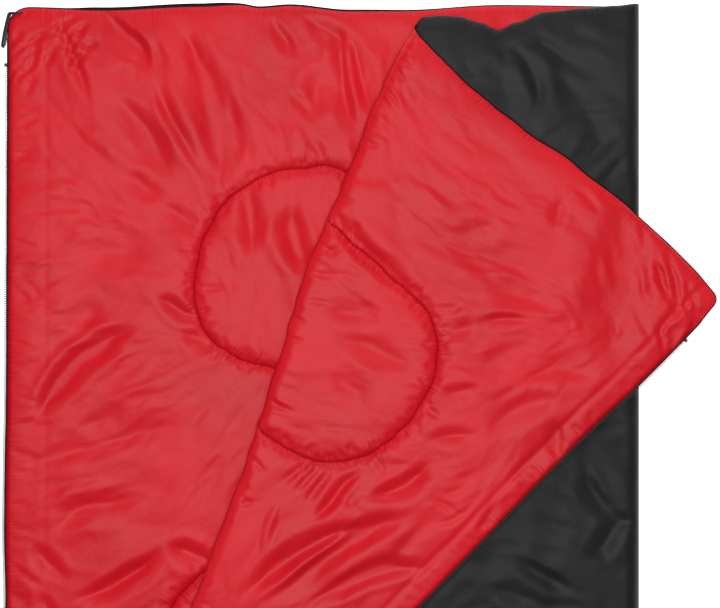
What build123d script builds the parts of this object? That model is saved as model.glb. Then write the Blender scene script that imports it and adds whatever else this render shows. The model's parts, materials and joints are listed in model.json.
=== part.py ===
from build123d import *
import os
from math import hypot

# A camp blanket: a rectangular quilted bag that unzips along one side and the foot.
# Two quilted panels lie on each other and are one cloth round the side fold on the right.
# The head-left corner of the front panel is turned back along a crease, as a flap.
# Origin: middle of the bag on the ground. +X: towards the side fold, +Y: towards the head, +Z: up.
# Millimetres. The black shell is outside, the red lining inside, the filling between them.

os.makedirs("parts", exist_ok=True)

# ---- the bag -------------------------------------------------------------------------
bag_width = 750
bag_length = 1900
panel_loft = 16  # thickness of one quilted panel
seam_height = 4  # thickness left where the layers are sewn together
seam_bevel = 22  # a panel thins out to its seams over this width
fabric = 1  # shell and lining, each
head_corner_radius = 24
foot_corner_radius = 60  # the zip turns round it

# ---- how the panels lie --------------------------------------------------------------
sleeping_gap = 5  # between the two linings, where the sleeper goes
shell_gap = 1.2  # between the front panel and the flap folded back onto it
fold_gap = 0.3  # a folded edge ends this far short of its own fold line
fold_along_head = 492  # the crease meets the head edge this far from the zip side
fold_along_side = 1206  # and the zip side this far from the head

# ---- quilting ------------------------------------------------------------------------
ring_radius = 120
ring_pitch = 460  # along the bag
ring_rows = 4
back_ring_from_head = 309
front_ring_from_head = 356
back_ring_from_zip = (348, 301)  # the back panel's rings are staggered between these
front_ring_from_zip = 286
thread_width = 1.2
thread_depth = 0.5
groove_width = 2.2
groove_depth = 0.6
thread_clear = 0.05  # the thread lies this far below the face

# ---- zip -----------------------------------------------------------------------------
tape_thickness = 1
tape_below_seam = 2.5  # sewn onto the edge, past the seam's middle
tape_short_of_middle = 2.2
coil_thickness = 2.6
coil_width = 2.8
coil_apart = 1.2  # room between the two half coils for the slider's wedge
zip_foot_end = 25  # from the side fold
coil_head_end = 68  # from the head edge
tape_head_end = 35
stop_length = 4
crease_clear = 6  # the zip strips end this far from the crease
slider_length = 12
slider_y = -285
slider_plate = 1.1
slider_corner = 1
slider_taper = 0.9  # each side, from its shoulders to its tail
flange_thickness = 1
flange_short = 1.5  # at each end
slider_clear = 0.5
wedge_thickness = 0.6
wedge_length = 4
wedge_setback = 0.5
bridge_length = 8
bridge_height = 3.2
bridge_wall = 1.1
bridge_width = 1.6
pull_length = 32
pull_width = 7
pull_thickness = 1.2
pull_corner = 2.4
pull_window = (6, 3.4)  # along and across the pull, round the bridge

# ---- closing tab at the head of the zip ----------------------------------------------
tab_length = 40
tab_width = 16
tab_thickness = 1.4
tab_end_radius = 3
tab_root_gap = 1  # between the swing's axis and the strap
hook_length = 24
hook_thickness = 1
hook_margin = 2
tab_lean = 8  # its free end stands this far out
tab_base = 1.5
root_thickness = 1.5
root_from_head = (12, 1)
root_margin = 1
tab_root_place = (1.5, 4)  # in from the zip side and from the head
patch_size = (30, 20, 0.6)
patch_corner = 3
patch_from_corner = (34, 30)

# ---- places worked out from the above ------------------------------------------------
right = bag_width / 2
left = -right
head = bag_length / 2
foot = -head
front_base = panel_loft + sleeping_gap
front_top = front_base + panel_loft
side_fold_height = panel_loft + sleeping_gap / 2
crease_height = front_top + shell_gap / 2
zip_height = side_fold_height
crease_head = (left + fold_along_head, head)
crease_side = (left, head - fold_along_side)
crease_axis = Axis(
    (*crease_head, crease_height),
    (crease_side[0] - crease_head[0], crease_side[1] - crease_head[1], 0),
)

# What each side of a panel is, from its lower face to its upper one: a seam thins out to
# the middle of the loft, and a fold is rounded towards its fold line, above or below it.
section_heights = (
    0,
    (panel_loft - seam_height) / 2,
    (panel_loft + seam_height) / 2,
    panel_loft,
)
fold_rounding = (panel_loft, panel_loft * 0.4, panel_loft * 0.2, fold_gap)
side_insets = {
    "seam": (seam_bevel, 0, 0, seam_bevel),
    "fold above": fold_rounding,
    "fold below": tuple(reversed(fold_rounding)),
}

# Panels, anticlockwise: a corner, its radius, and the side from it to the next corner.
back_sides = [
    ((right, foot), 0, "fold above"),
    ((right, head), 0, "seam"),
    ((left, head), head_corner_radius, "seam"),
    ((left, foot), foot_corner_radius, "seam"),
]
front_sides = [
    ((right, foot), 0, "fold below"),
    ((right, head), 0, "seam"),
    (crease_head, 0, "fold above"),
    (crease_side, 0, "seam"),
    ((left, foot), foot_corner_radius, "seam"),
]
flap_sides = [
    (crease_head, 0, "seam"),
    ((left, head), head_corner_radius, "seam"),
    (crease_side, 0, "fold above"),
]

ring_heads = [row * ring_pitch for row in range(ring_rows)]
back_rings = [
    (left + back_ring_from_zip[row % 2], head - back_ring_from_head - distance)
    for row, distance in enumerate(ring_heads)
]
front_rings = [
    (left + front_ring_from_zip, head - front_ring_from_head - distance)
    for distance in ring_heads
]


# ---- shapes used more than once ------------------------------------------------------
def inset_corners(corners, insets):
    """The corners of an anticlockwise polygon after each side moves inwards by its inset."""
    lines = []
    for (x0, y0), (x1, y1), inset in zip(corners, corners[1:] + corners[:1], insets):
        length = hypot(x1 - x0, y1 - y0)
        across = ((x1 - x0) / length, (y1 - y0) / length)
        lines.append(((x0 - across[1] * inset, y0 + across[0] * inset), across))
    moved = []
    for (start, along), (other, beside) in zip(lines[-1:] + lines[:-1], lines):
        gap = (other[0] - start[0], other[1] - start[1])
        turn = along[0] * beside[1] - along[1] * beside[0]
        reach = (gap[0] * beside[1] - gap[1] * beside[0]) / turn
        moved.append((start[0] + along[0] * reach, start[1] + along[1] * reach))
    return moved


def panel_section(sides, insets):
    """One level cut through a panel, its corners rounded."""
    corners = inset_corners([corner for corner, _, _ in sides], insets)
    with BuildSketch() as section:
        Polygon(*corners, align=None)
        for corner, (_, radius, _), inset in zip(corners, sides, insets):
            if radius:
                fillet(section.vertices().sort_by_distance(corner)[0], radius - inset)
    return section.sketch


def quilted_panel(sides, base):
    """The closed pad that a panel's three layers fill."""
    with BuildPart() as panel:
        for level, height in enumerate(section_heights):
            insets = [side_insets[kind][level] for _, _, kind in sides]
            with BuildSketch(Plane.XY.offset(base + height)):
                add(panel_section(sides, insets))
        loft(ruled=True)
    return panel.part


def fabric_face(panel, towards):
    """The cloth on a panel's upper face (towards 1) or lower face (towards -1)."""
    with BuildPart() as cloth:
        add(panel)
        with Locations((0, 0, -towards * fabric)):
            add(panel, mode=Mode.SUBTRACT)
    return cloth.part


def filling(panel):
    """What is left between a panel's two cloths."""
    with BuildPart() as batting:
        add(panel)
        with Locations((0, 0, fabric)):
            add(panel, mode=Mode.INTERSECT)
        with Locations((0, 0, -fabric)):
            add(panel, mode=Mode.INTERSECT)
    return batting.part


def quilt_lines(rings, sides, face_height, width):
    """The sewn circles of a panel, as far as they lie on its flat face."""
    corners = [corner for corner, _, _ in sides]
    margins = [seam_bevel + 1] * len(corners)
    with BuildSketch(Plane.XY.offset(face_height)) as lines:
        with Locations(*rings):
            Circle(ring_radius + width / 2)
            Circle(ring_radius - width / 2, mode=Mode.SUBTRACT)
        Polygon(*inset_corners(corners, margins), align=None, mode=Mode.INTERSECT)
    return lines.sketch


def quilted_face(panel, towards, rings, sides, face_height):
    """A cloth face with the shallow groove that its quilting pulls into it."""
    with BuildPart() as face:
        add(fabric_face(panel, towards))
        grooves = quilt_lines(rings, sides, face_height, groove_width)
        extrude(grooves, amount=-towards * groove_depth, mode=Mode.SUBTRACT)
    return face.part


def quilt_threads(rings, sides, base):
    """The thread of a panel's circles, in the grooves of both its faces."""
    with BuildPart() as threads:
        for face_height, towards in ((base + panel_loft, 1), (base, -1)):
            bottom = face_height - towards * (thread_depth + thread_clear)
            lines = quilt_lines(rings, sides, bottom, thread_width)
            extrude(lines, amount=towards * thread_depth)
    return threads.part


def bag_outline(grown):
    """The bag's outline seen from above, with its two rounded corners, grown by a width."""
    return panel_section(back_sides, [-grown] * len(back_sides))


def edge_strip(offsets, heights, x_limits, y_limits):
    """A strip that stands along the outline, between two offsets from it and two heights."""
    with BuildPart() as strip:
        with BuildSketch(Plane.XY.offset(heights[0])):
            add(bag_outline(offsets[1]))
            add(bag_outline(offsets[0]), mode=Mode.SUBTRACT)
            window = [
                (x_limits[0], y_limits[0]),
                (x_limits[1], y_limits[0]),
                (x_limits[1], y_limits[1]),
                (x_limits[0], y_limits[1]),
            ]
            Polygon(*window, align=None, mode=Mode.INTERSECT)
        extrude(amount=heights[1] - heights[0])
    return strip.part


def folded_back(piece):
    """A piece of the flap, built where it lies when closed, turned over about the crease."""
    return piece.rotate(crease_axis, 180)


# ---- the three layers of each panel --------------------------------------------------
# Where a folded edge thins to nothing the shell goes all the way and the lining stops.
back_pad = quilted_panel(back_sides, 0)
front_pad = quilted_panel(front_sides, front_base)
flap_pad = quilted_panel(flap_sides, front_base)

with BuildPart() as shell_back:
    add(quilted_face(back_pad, -1, back_rings, back_sides, 0))

with BuildPart() as insulation_back:
    add(filling(back_pad))

with BuildPart() as lining_back:
    add(quilted_face(back_pad, 1, back_rings, back_sides, panel_loft))
    add(shell_back.part, mode=Mode.SUBTRACT)

with BuildPart() as stitching_back:
    add(quilt_threads(back_rings, back_sides, 0))

with BuildPart() as shell_front:
    add(quilted_face(front_pad, 1, front_rings, front_sides, front_top))

with BuildPart() as insulation_front:
    add(filling(front_pad))

with BuildPart() as lining_front:
    add(quilted_face(front_pad, -1, front_rings, front_sides, front_base))
    add(shell_front.part, mode=Mode.SUBTRACT)

with BuildPart() as stitching_front:
    add(quilt_threads(front_rings, front_sides, front_base))

with BuildPart() as shell_flap:
    add(folded_back(quilted_face(flap_pad, 1, front_rings, flap_sides, front_top)))

with BuildPart() as insulation_flap:
    add(folded_back(filling(flap_pad)))

with BuildPart() as lining_flap:
    add(folded_back(quilted_face(flap_pad, -1, front_rings, flap_sides, front_base)))
    add(shell_flap.part, mode=Mode.SUBTRACT)

with BuildPart() as stitching_flap:
    add(folded_back(quilt_threads(front_rings, flap_sides, front_base)))

# ---- zip: a tape and a half coil on the edge of each panel ---------------------------
# The strips stand upright on the panels' edges and meet at zip_height.
outside = 20  # any distance beyond the bag
back_seam = panel_loft / 2
front_seam = front_base + panel_loft / 2
tape_offsets = (0, tape_thickness)
coil_offsets = (tape_thickness, tape_thickness + coil_thickness)
back_tape_heights = (back_seam - tape_below_seam, zip_height - tape_short_of_middle)
front_tape_heights = (zip_height + tape_short_of_middle, front_seam + tape_below_seam)
back_coil_heights = (zip_height - coil_apart / 2 - coil_width, zip_height - coil_apart / 2)
front_coil_heights = (zip_height + coil_apart / 2, zip_height + coil_apart / 2 + coil_width)
along_foot = (left - outside, right - zip_foot_end)
past_foot = foot - outside
tape_head = head - tape_head_end
coil_head = head - coil_head_end
below_crease = crease_side[1] - crease_clear
above_crease = crease_side[1] + crease_clear

with BuildPart() as zip_tape_back:
    add(edge_strip(tape_offsets, back_tape_heights, along_foot, (past_foot, tape_head)))

with BuildPart() as zip_coil_back:
    add(edge_strip(coil_offsets, back_coil_heights, along_foot, (past_foot, coil_head)))

with BuildPart() as zip_tape_front:
    add(edge_strip(tape_offsets, front_tape_heights, along_foot, (past_foot, below_crease)))

with BuildPart() as zip_coil_front:
    add(edge_strip(coil_offsets, front_coil_heights, along_foot, (past_foot, below_crease)))

with BuildPart() as zip_tape_flap:
    tape = edge_strip(tape_offsets, front_tape_heights, along_foot, (above_crease, tape_head))
    add(folded_back(tape))

with BuildPart() as zip_coil_flap:
    coil = edge_strip(coil_offsets, front_coil_heights, along_foot, (above_crease, coil_head))
    add(folded_back(coil))

stop_reach = (coil_head, coil_head + stop_length)
with BuildPart() as zip_top_stop_back:
    add(edge_strip(coil_offsets, back_coil_heights, along_foot, stop_reach))

with BuildPart() as zip_top_stop_flap:
    add(folded_back(edge_strip(coil_offsets, front_coil_heights, along_foot, stop_reach)))

bottom_stop_reach = (right - zip_foot_end, right - zip_foot_end + stop_length)
with BuildPart() as zip_bottom_stop:
    stop_offsets = (0, tape_thickness + coil_thickness)
    add(edge_strip(stop_offsets, back_coil_heights, bottom_stop_reach, (past_foot, foot)))

# ---- slider: two plates joined by the wedge between the half coils -------------------
# Its upper side is open, so that the front panel can be lifted out of it anywhere.
coil_face = left - tape_thickness - coil_thickness
outer_plate_face = coil_face - slider_clear  # the plate's inner side
outer_plate_back = outer_plate_face - slider_plate
inner_plate_face = left + slider_clear
slider_half_width = coil_apart / 2 + coil_width + slider_clear + flange_thickness


def slider_plate_outline():
    """A slider seen from its side: its open upper side narrows from the shoulder to the tail."""
    with BuildSketch() as outline:
        corners = [
            (slider_y - slider_length / 2, zip_height - slider_half_width),
            (slider_y + slider_length / 2, zip_height - slider_half_width),
            (slider_y + slider_length / 2, zip_height + slider_half_width),
            (slider_y - slider_length / 2, zip_height + slider_half_width - slider_taper),
        ]
        Polygon(*corners, align=None)
        fillet(outline.vertices(), slider_corner)
    return outline.sketch


with BuildPart() as slider_body:
    for plate_start in (outer_plate_back, inner_plate_face):
        with BuildSketch(Plane.YZ.offset(plate_start)):
            add(slider_plate_outline())
        extrude(amount=slider_plate)
    with BuildSketch(Plane.YZ.offset(outer_plate_back)) as lower_flange:
        with Locations((slider_y, zip_height - slider_half_width + flange_thickness / 2)):
            Rectangle(slider_length - 2 * flange_short, flange_thickness)
    extrude(amount=slider_plate + coil_thickness)
    with BuildSketch(Plane.YZ.offset(outer_plate_back)) as wedge:
        wedge_middle = slider_y + slider_length / 2 - wedge_setback - wedge_length / 2
        with Locations((wedge_middle, zip_height)):
            Rectangle(wedge_length, wedge_thickness)
    extrude(amount=inner_plate_face + slider_plate - outer_plate_back)
    with BuildSketch(Plane.XY.offset(zip_height - bridge_width / 2)) as bridge:
        with Locations((outer_plate_back - bridge_height / 2, slider_y)):
            Rectangle(bridge_height, bridge_length)
        fillet(bridge.vertices().group_by(Axis.X)[0], bridge_wall)
        opening_depth = bridge_height - bridge_wall
        with Locations((outer_plate_back - opening_depth / 2, slider_y)):
            Rectangle(opening_depth, bridge_length - 2 * bridge_wall, mode=Mode.SUBTRACT)
    extrude(amount=bridge_width)

# ---- pull: a flat tab on a round bar that turns under the slider's bridge ------------
pull_axis_x = outer_plate_back - (bridge_height - bridge_wall) / 2
with BuildPart() as puller_tab:
    with BuildSketch(Plane.YZ.offset(pull_axis_x - pull_thickness / 2)) as pull_outline:
        with Locations((slider_y - pull_length / 2, zip_height)):
            Rectangle(pull_length, pull_width)
        fillet(pull_outline.vertices().group_by(Axis.X)[0], pull_corner)
        with Locations((slider_y - pull_window[0] / 2, zip_height)):
            Rectangle(*pull_window, mode=Mode.SUBTRACT)
    extrude(amount=pull_thickness)
    with BuildSketch(Plane.XY.offset(zip_height - pull_width / 2)):
        with Locations((pull_axis_x, slider_y)):
            Circle(pull_thickness / 2)
    extrude(amount=pull_width)

# ---- closing tab: a short strap with a hook patch, which swings at its sewn root -----
tab_root = (left + tab_root_place[0], head - tab_root_place[1])
tab_end = (tab_root[0] - tab_lean, tab_root[1] - tab_length)
tab_unit = Vector(tab_end[0] - tab_root[0], tab_end[1] - tab_root[1]).normalized()
tab_plane = Plane(
    origin=(*tab_root, tab_base),
    x_dir=(tab_unit.X, tab_unit.Y, 0),
    z_dir=(0, 0, 1),
)

with BuildPart() as closure_tab_strap:
    with BuildSketch(tab_plane):
        with Locations((tab_root_gap + tab_length / 2, -tab_thickness / 2)):
            Rectangle(tab_length, tab_thickness)
    extrude(amount=tab_width)
    free_corners = closure_tab_strap.edges().filter_by(
        lambda edge: abs(edge.length - tab_thickness) < thread_clear
        and (edge.center() - tab_plane.origin).dot(tab_unit) > tab_length
    )
    fillet(free_corners, tab_end_radius)

with BuildPart() as closure_hook_patch:
    with BuildSketch(tab_plane.offset(hook_margin)):
        with Locations((tab_length - hook_length / 2 - hook_margin, hook_thickness / 2)):
            Rectangle(hook_length, hook_thickness)
    extrude(amount=tab_width - 2 * hook_margin)

with BuildPart() as closure_tab_root:
    root_reach = (head - root_from_head[0], head - root_from_head[1])
    root_heights = (tab_base + root_margin, tab_base + tab_width - root_margin)
    root_x = (left - outside, left + head_corner_radius)
    add(edge_strip((0, root_thickness), root_heights, root_x, root_reach))

# The soft patch that the tab's hooks close onto, on the shell near the flap's corner.
with BuildPart() as closed_patch:
    with BuildSketch(Plane.XY.offset(front_top)):
        with Locations((left + patch_from_corner[0], head - patch_from_corner[1])):
            RectangleRounded(patch_size[0], patch_size[1], patch_corner)
    extrude(amount=patch_size[2])

with BuildPart() as closure_loop_patch:
    add(folded_back(closed_patch.part))

# ---- files ---------------------------------------------------------------------------
pieces = {
    "shell_back": shell_back,
    "insulation_back": insulation_back,
    "lining_back": lining_back,
    "stitching_back": stitching_back,
    "shell_front": shell_front,
    "insulation_front": insulation_front,
    "lining_front": lining_front,
    "stitching_front": stitching_front,
    "shell_flap": shell_flap,
    "insulation_flap": insulation_flap,
    "lining_flap": lining_flap,
    "stitching_flap": stitching_flap,
    "zip_tape_back": zip_tape_back,
    "zip_coil_back": zip_coil_back,
    "zip_tape_front": zip_tape_front,
    "zip_coil_front": zip_coil_front,
    "zip_tape_flap": zip_tape_flap,
    "zip_coil_flap": zip_coil_flap,
    "zip_top_stop_back": zip_top_stop_back,
    "zip_top_stop_flap": zip_top_stop_flap,
    "zip_bottom_stop": zip_bottom_stop,
    "slider_body": slider_body,
    "puller_tab": puller_tab,
    "closure_tab_root": closure_tab_root,
    "closure_tab_strap": closure_tab_strap,
    "closure_hook_patch": closure_hook_patch,
    "closure_loop_patch": closure_loop_patch,
}
for label, piece in pieces.items():
    piece.part.label = label
    export_step(piece.part, f"parts/{label}.step")

print("crease from", crease_head, "to", crease_side, "at height", crease_height)
print("side fold at x", right, "height", side_fold_height)
print("slider at y", slider_y, "height", zip_height, "pull axis x", pull_axis_x)
print("closing tab's root", tab_root)
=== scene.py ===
"""The looks of a rectangular sleeping bag, opened with one head corner folded back, on its CAD frame.

Lengths are metres, except where a name ends in _mm. The bag lies with its head towards +Y, its
zip on the left and its side fold on the right. Each panel is worked out flat and closed first,
as (x, y) and a height from the panel's middle layer, and is then laid where the frame has it.
"""

import json
import math

import bpy
import numpy as np
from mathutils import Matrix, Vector

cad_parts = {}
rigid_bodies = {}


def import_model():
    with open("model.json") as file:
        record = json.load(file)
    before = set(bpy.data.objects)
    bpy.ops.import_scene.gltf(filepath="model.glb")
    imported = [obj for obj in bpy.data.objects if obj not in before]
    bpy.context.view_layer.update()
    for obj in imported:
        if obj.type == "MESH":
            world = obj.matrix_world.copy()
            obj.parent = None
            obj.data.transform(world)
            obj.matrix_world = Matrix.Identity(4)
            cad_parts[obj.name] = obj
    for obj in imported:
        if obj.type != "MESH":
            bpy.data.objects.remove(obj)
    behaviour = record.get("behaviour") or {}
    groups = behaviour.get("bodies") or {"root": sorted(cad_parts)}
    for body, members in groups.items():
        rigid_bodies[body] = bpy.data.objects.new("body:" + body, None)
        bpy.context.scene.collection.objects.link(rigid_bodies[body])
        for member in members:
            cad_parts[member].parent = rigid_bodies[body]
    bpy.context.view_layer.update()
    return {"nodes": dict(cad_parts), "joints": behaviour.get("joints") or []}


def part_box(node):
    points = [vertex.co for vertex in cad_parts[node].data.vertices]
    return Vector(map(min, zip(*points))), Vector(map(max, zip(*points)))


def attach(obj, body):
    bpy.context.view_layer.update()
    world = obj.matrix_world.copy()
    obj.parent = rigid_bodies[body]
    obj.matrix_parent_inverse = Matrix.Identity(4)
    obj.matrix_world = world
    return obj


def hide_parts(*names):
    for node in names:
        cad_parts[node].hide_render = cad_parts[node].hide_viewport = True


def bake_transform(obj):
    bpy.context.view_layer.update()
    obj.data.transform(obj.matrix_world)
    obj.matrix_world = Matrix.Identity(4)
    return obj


for start_up_object in list(bpy.data.objects):
    bpy.data.objects.remove(start_up_object)
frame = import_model()
MM = 0.001

# ---- places, from the frame -----------------------------------------------------------
joints = {joint["name"]: joint for joint in frame["joints"]}
back_low, back_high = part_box("shell_back")
LEFT, FOOT = back_low.x, back_low.y
HEAD = back_high.y
RIGHT, _, SIDE_HEIGHT = joints["side_fold"]["pos_m"]
BACK_MIDDLE = (back_low.z + back_high.z) / 2
FRONT_MIDDLE = (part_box("lining_front")[0].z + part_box("shell_front")[1].z) / 2
LOFT = back_high.z / 2
crease_point = np.array(joints["corner_fold"]["pos_m"])
crease_along = -np.array(joints["corner_fold"]["axis"])[:2]
crease_inwards = np.array([crease_along[1], -crease_along[0]])
CREASE_HEIGHT = crease_point[2]

# ---- sewing ---------------------------------------------------------------------------
HEAD_CORNER = 24 * MM
TIP_CORNER = 10 * MM
FOOT_CORNER = 60 * MM
RING_RADIUS = 120 * MM
RING_PITCH = 460 * MM
BACK_RINGS_ACROSS = (LEFT + 0.348, LEFT + 0.301)
BACK_RINGS_FROM = HEAD - 0.309
FRONT_RINGS_ACROSS = LEFT + 0.286
FRONT_RINGS_FROM = HEAD - 0.356
BACK_FACING = 45 * MM
FRONT_FACING = 27 * MM
SEAM_HALF = 1.1 * MM
PIPING = 1.5 * MM
rings_back = [(BACK_RINGS_ACROSS[row % 2], BACK_RINGS_FROM - row * RING_PITCH) for row in range(4)]
rings_front = [(FRONT_RINGS_ACROSS, FRONT_RINGS_FROM - row * RING_PITCH) for row in range(4)]


# ---- small sums -----------------------------------------------------------------------
def ease(t):
    """0 before 0, 1 after 1, and smooth between."""
    t = np.clip(t, 0, 1)
    return t * t * (3 - 2 * t)


def through(places, values, at):
    """A line that eases from each value to the next, at given places."""
    places, values, at = np.array(places), np.array(values), np.asarray(at, float)
    i = np.clip(np.searchsorted(places, at) - 1, 0, len(places) - 2)
    share = ease((at - places[i]) / (places[i + 1] - places[i]))
    return values[i] + (values[i + 1] - values[i]) * share


def noise(x, y, size, seed):
    """Smooth noise from about -0.7 to 0.7, whose features are about size across."""
    angles = np.random.default_rng(seed).uniform(0, 2 * np.pi, (64, 64))
    px, py = x / size + 640.3, y / size + 640.7
    ix, iy = np.floor(px).astype(int), np.floor(py).astype(int)
    fx, fy = px - ix, py - iy
    wx = fx**3 * (fx * (6 * fx - 15) + 10)
    wy = fy**3 * (fy * (6 * fy - 15) + 10)
    total = np.zeros_like(px)
    for cx in (0, 1):
        for cy in (0, 1):
            angle = angles[(ix + cx) % 64, (iy + cy) % 64]
            slope = np.cos(angle) * (fx - cx) + np.sin(angle) * (fy - cy)
            total += slope * (wx if cx else 1 - wx) * (wy if cy else 1 - wy)
    return total


def distances_along(points):
    """How far along a line each of its points is."""
    return np.concatenate([[0], np.cumsum(np.hypot(*np.diff(points, axis=0).T))])


def rounded_line(points, steps=6):
    """A smooth line through given points."""
    points = np.array(points, float)
    if len(points) < 3:
        return points
    ends = np.vstack([2 * points[0] - points[1], points, 2 * points[-1] - points[-2]])
    line = [points[0]]
    for i in range(1, len(ends) - 2):
        a, b, c, d = ends[i - 1 : i + 3]
        for t in np.arange(1, steps + 1) / steps:
            line.append(
                0.5 * (2 * b + (c - a) * t + (2 * a - 5 * b + 4 * c - d) * t**2)
                + 0.5 * (3 * b - a - 3 * c + d) * t**3
            )
    return np.array(line)


def to_crease(x, y):
    """How far a point is from the crease, positive on the side that isn't folded back."""
    across = (x - crease_point[0]) * crease_inwards[0] + (y - crease_point[1]) * crease_inwards[1]
    return across


def along_crease(x, y):
    """How far down the crease from the head a point lies."""
    return -((x - crease_point[0]) * crease_along[0] + (y - crease_point[1]) * crease_along[1])


def mirrored(x, y):
    """Where a point goes, seen from above, when the corner is folded over, and back again."""
    across = to_crease(x, y)
    return x - 2 * across * crease_inwards[0], y - 2 * across * crease_inwards[1]


# ---- folds of the cloth ---------------------------------------------------------------
def press(x, y, height, points, depth_mm, left_mm, right_mm=None, sharp=0.5, blunt=0.3):
    """Presses a fold into height: a valley along the line, softer or steeper on each side.

    A negative depth raises a ridge. sharp goes from 0, a round valley, to 1, a crisp one.
    blunt is the share of the length over which each end fades out.
    """
    line = rounded_line(points)
    right_mm = left_mm if right_mm is None else right_mm
    reach = 3.6 * max(left_mm, right_mm) * MM
    low, high = line.min(0) - reach, line.max(0) + reach
    near = np.nonzero((x > low[0]) & (x < high[0]) & (y > low[1]) & (y < high[1]))
    if len(near[0]) == 0:
        return
    px, py = x[near], y[near]
    steps = np.hypot(*np.diff(line, axis=0).T)
    walked = distances_along(line)
    best = np.full(px.shape, 1e9)
    side, place = np.zeros(px.shape), np.zeros(px.shape)
    for i, (a, b) in enumerate(zip(line[:-1], line[1:])):
        run = b - a
        t = np.clip(((px - a[0]) * run[0] + (py - a[1]) * run[1]) / max(run @ run, 1e-12), 0, 1)
        dx, dy = px - a[0] - t * run[0], py - a[1] - t * run[1]
        gap = np.hypot(dx, dy)
        nearer = gap < best
        best = np.where(nearer, gap, best)
        side = np.where(nearer, run[0] * dy - run[1] * dx, side)
        place = np.where(nearer, walked[i] + t * steps[i], place)
    share = place / walked[-1]
    fade = ease(share / blunt) * ease((1 - share) / blunt)
    width = np.where(side > 0, left_mm, right_mm) * MM * (0.55 + 0.45 * fade)
    q = best / width
    round_valley = np.exp(-(q**2))
    crisp_valley = np.exp(-1.25 * (np.sqrt(q**2 + 0.02) - 0.14))
    valley = round_valley * (1 - sharp) + crisp_valley * sharp
    lip = 0.22 * np.exp(-(((q - 2.1) / 0.8) ** 2))
    height[near] -= depth_mm * MM * fade * (valley - lip)


def bag_point(across_mm, down_mm):
    """A point so far from the bag's left edge and so far down from its head edge."""
    return LEFT + across_mm * MM, HEAD - down_mm * MM


def press_all(x, y, height, folds, folded=False, share=1.0):
    """Presses a list of folds: depth, left and right width, sharpness, then the points."""
    for depth, left, right, sharp, *points in folds:
        places = [bag_point(*point) for point in points]
        length = math.dist(points[0], points[-1])
        lighter = share * min(1, length / 85)
        if folded:
            places = [mirrored(*place) for place in places]
            left, right = right, left
        press(x, y, height, places, depth * lighter, left, right, min(1, sharp + 0.2), 0.4)


# Folds of the back panel's lining: depth, left and right width, sharpness, then points as
# millimetres across from the left edge and down from the head edge.
BACK_FOLDS = [
    (4, 5, 6, 0.8, (55, -5), (66, 27), (75, 50), (92, 92), (100, 120)),
    (6.5, 5, 16, 0.7, (108, -5), (138, 25), (162, 48), (170, 75)),
    (3, 9, 6, 0.3, (170, 70), (190, 120), (215, 165), (240, 215)),
    (6.5, 14, 16, 0.4, (184, 0), (205, 28), (228, 60), (243, 110), (252, 165), (250, 235)),
    (3, 6, 6, 0.6, (170, 35), (182, 60), (190, 75)),
    (3, 5, 6, 0.6, (212, 30), (222, 55), (222, 80)),
    (2.8, 5, 6, 0.6, (84, 124), (97, 135), (108, 147)),
    (4.5, 10, 18, 0.3, (120, 99), (157, 131), (180, 170), (196, 205)),
    (4, 9, 13, 0.3, (138, 189), (160, 208), (182, 230)),
    (4, 7, 9, 0.6, (181, 228), (211, 250), (224, 275)),
    (3.5, 5, 7, 0.6, (313, 5), (320, 25), (335, 45), (350, 58)),
    (4, 9, 10, 0.4, (345, 10), (385, 28), (420, 45)),
    (3.5, 5, 6, 0.7, (333, 93), (350, 112), (366, 135)),
    (4, 5, 6, 0.7, (357, 150), (368, 165), (380, 183)),
    (5, 6, 12, 0.7, (393, 16), (397, 50), (400, 90), (407, 128), (424, 150)),
    (4.5, 10, 7, 0.6, (408, 20), (414, 55), (427, 105), (440, 135)),
    (4, 16, 12, 0.2, (375, 60), (368, 95), (366, 135)),
    (3, 12, 12, 0.2, (262, 95), (272, 150), (275, 200)),
    (6, 10, 14, 0.4, (335, 225), (340, 262), (348, 292), (362, 318)),
    (4, 10, 10, 0.3, (285, 200), (288, 250), (292, 300)),
    (7.5, 9, 12, 0.5, (30, 500), (45, 468), (72, 430), (98, 407), (130, 388), (170, 376)),
    (5.5, 7, 8, 0.6, (170, 343), (188, 347), (205, 358), (230, 376)),
    (5.5, 8, 9, 0.5, (203, 382), (222, 390), (252, 404)),
    (4, 12, 16, 0.2, (229, 483), (148, 507), (66, 529), (12, 546)),
    (3.5, 12, 10, 0.3, (150, 472), (106, 490), (74, 500)),
    (4.5, 14, 10, 0.3, (165, 572), (120, 586), (82, 594), (52, 630)),
    (7.5, 12, 8, 0.6, (246, 660), (215, 645), (186, 636)),
    (7.5, 11, 8, 0.6, (184, 634), (170, 655), (148, 671), (115, 690), (70, 705)),
    (4, 8, 8, 0.4, (31, 628), (45, 655), (75, 680)),
    (4.5, 8, 10, 0.5, (-3, 693), (15, 700), (32, 712)),
    (4, 6, 8, 0.6, (36, 690), (48, 712), (60, 730)),
    (3.5, 6, 8, 0.6, (8, 316), (20, 308), (38, 300)),
    (3, 6, 7, 0.5, (10, 340), (28, 343)),
    (3, 3.5, 4, 0.9, (6, 181), (20, 172), (34, 164)),
    (2.5, 3.5, 4, 0.8, (8, 140), (22, 134), (40, 125)),
    (3, 18, 18, 0.2, (70, 300), (110, 285), (150, 290), (178, 305)),
    (2.5, 14, 14, 0.2, (60, 380), (95, 360), (120, 350)),
]

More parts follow.
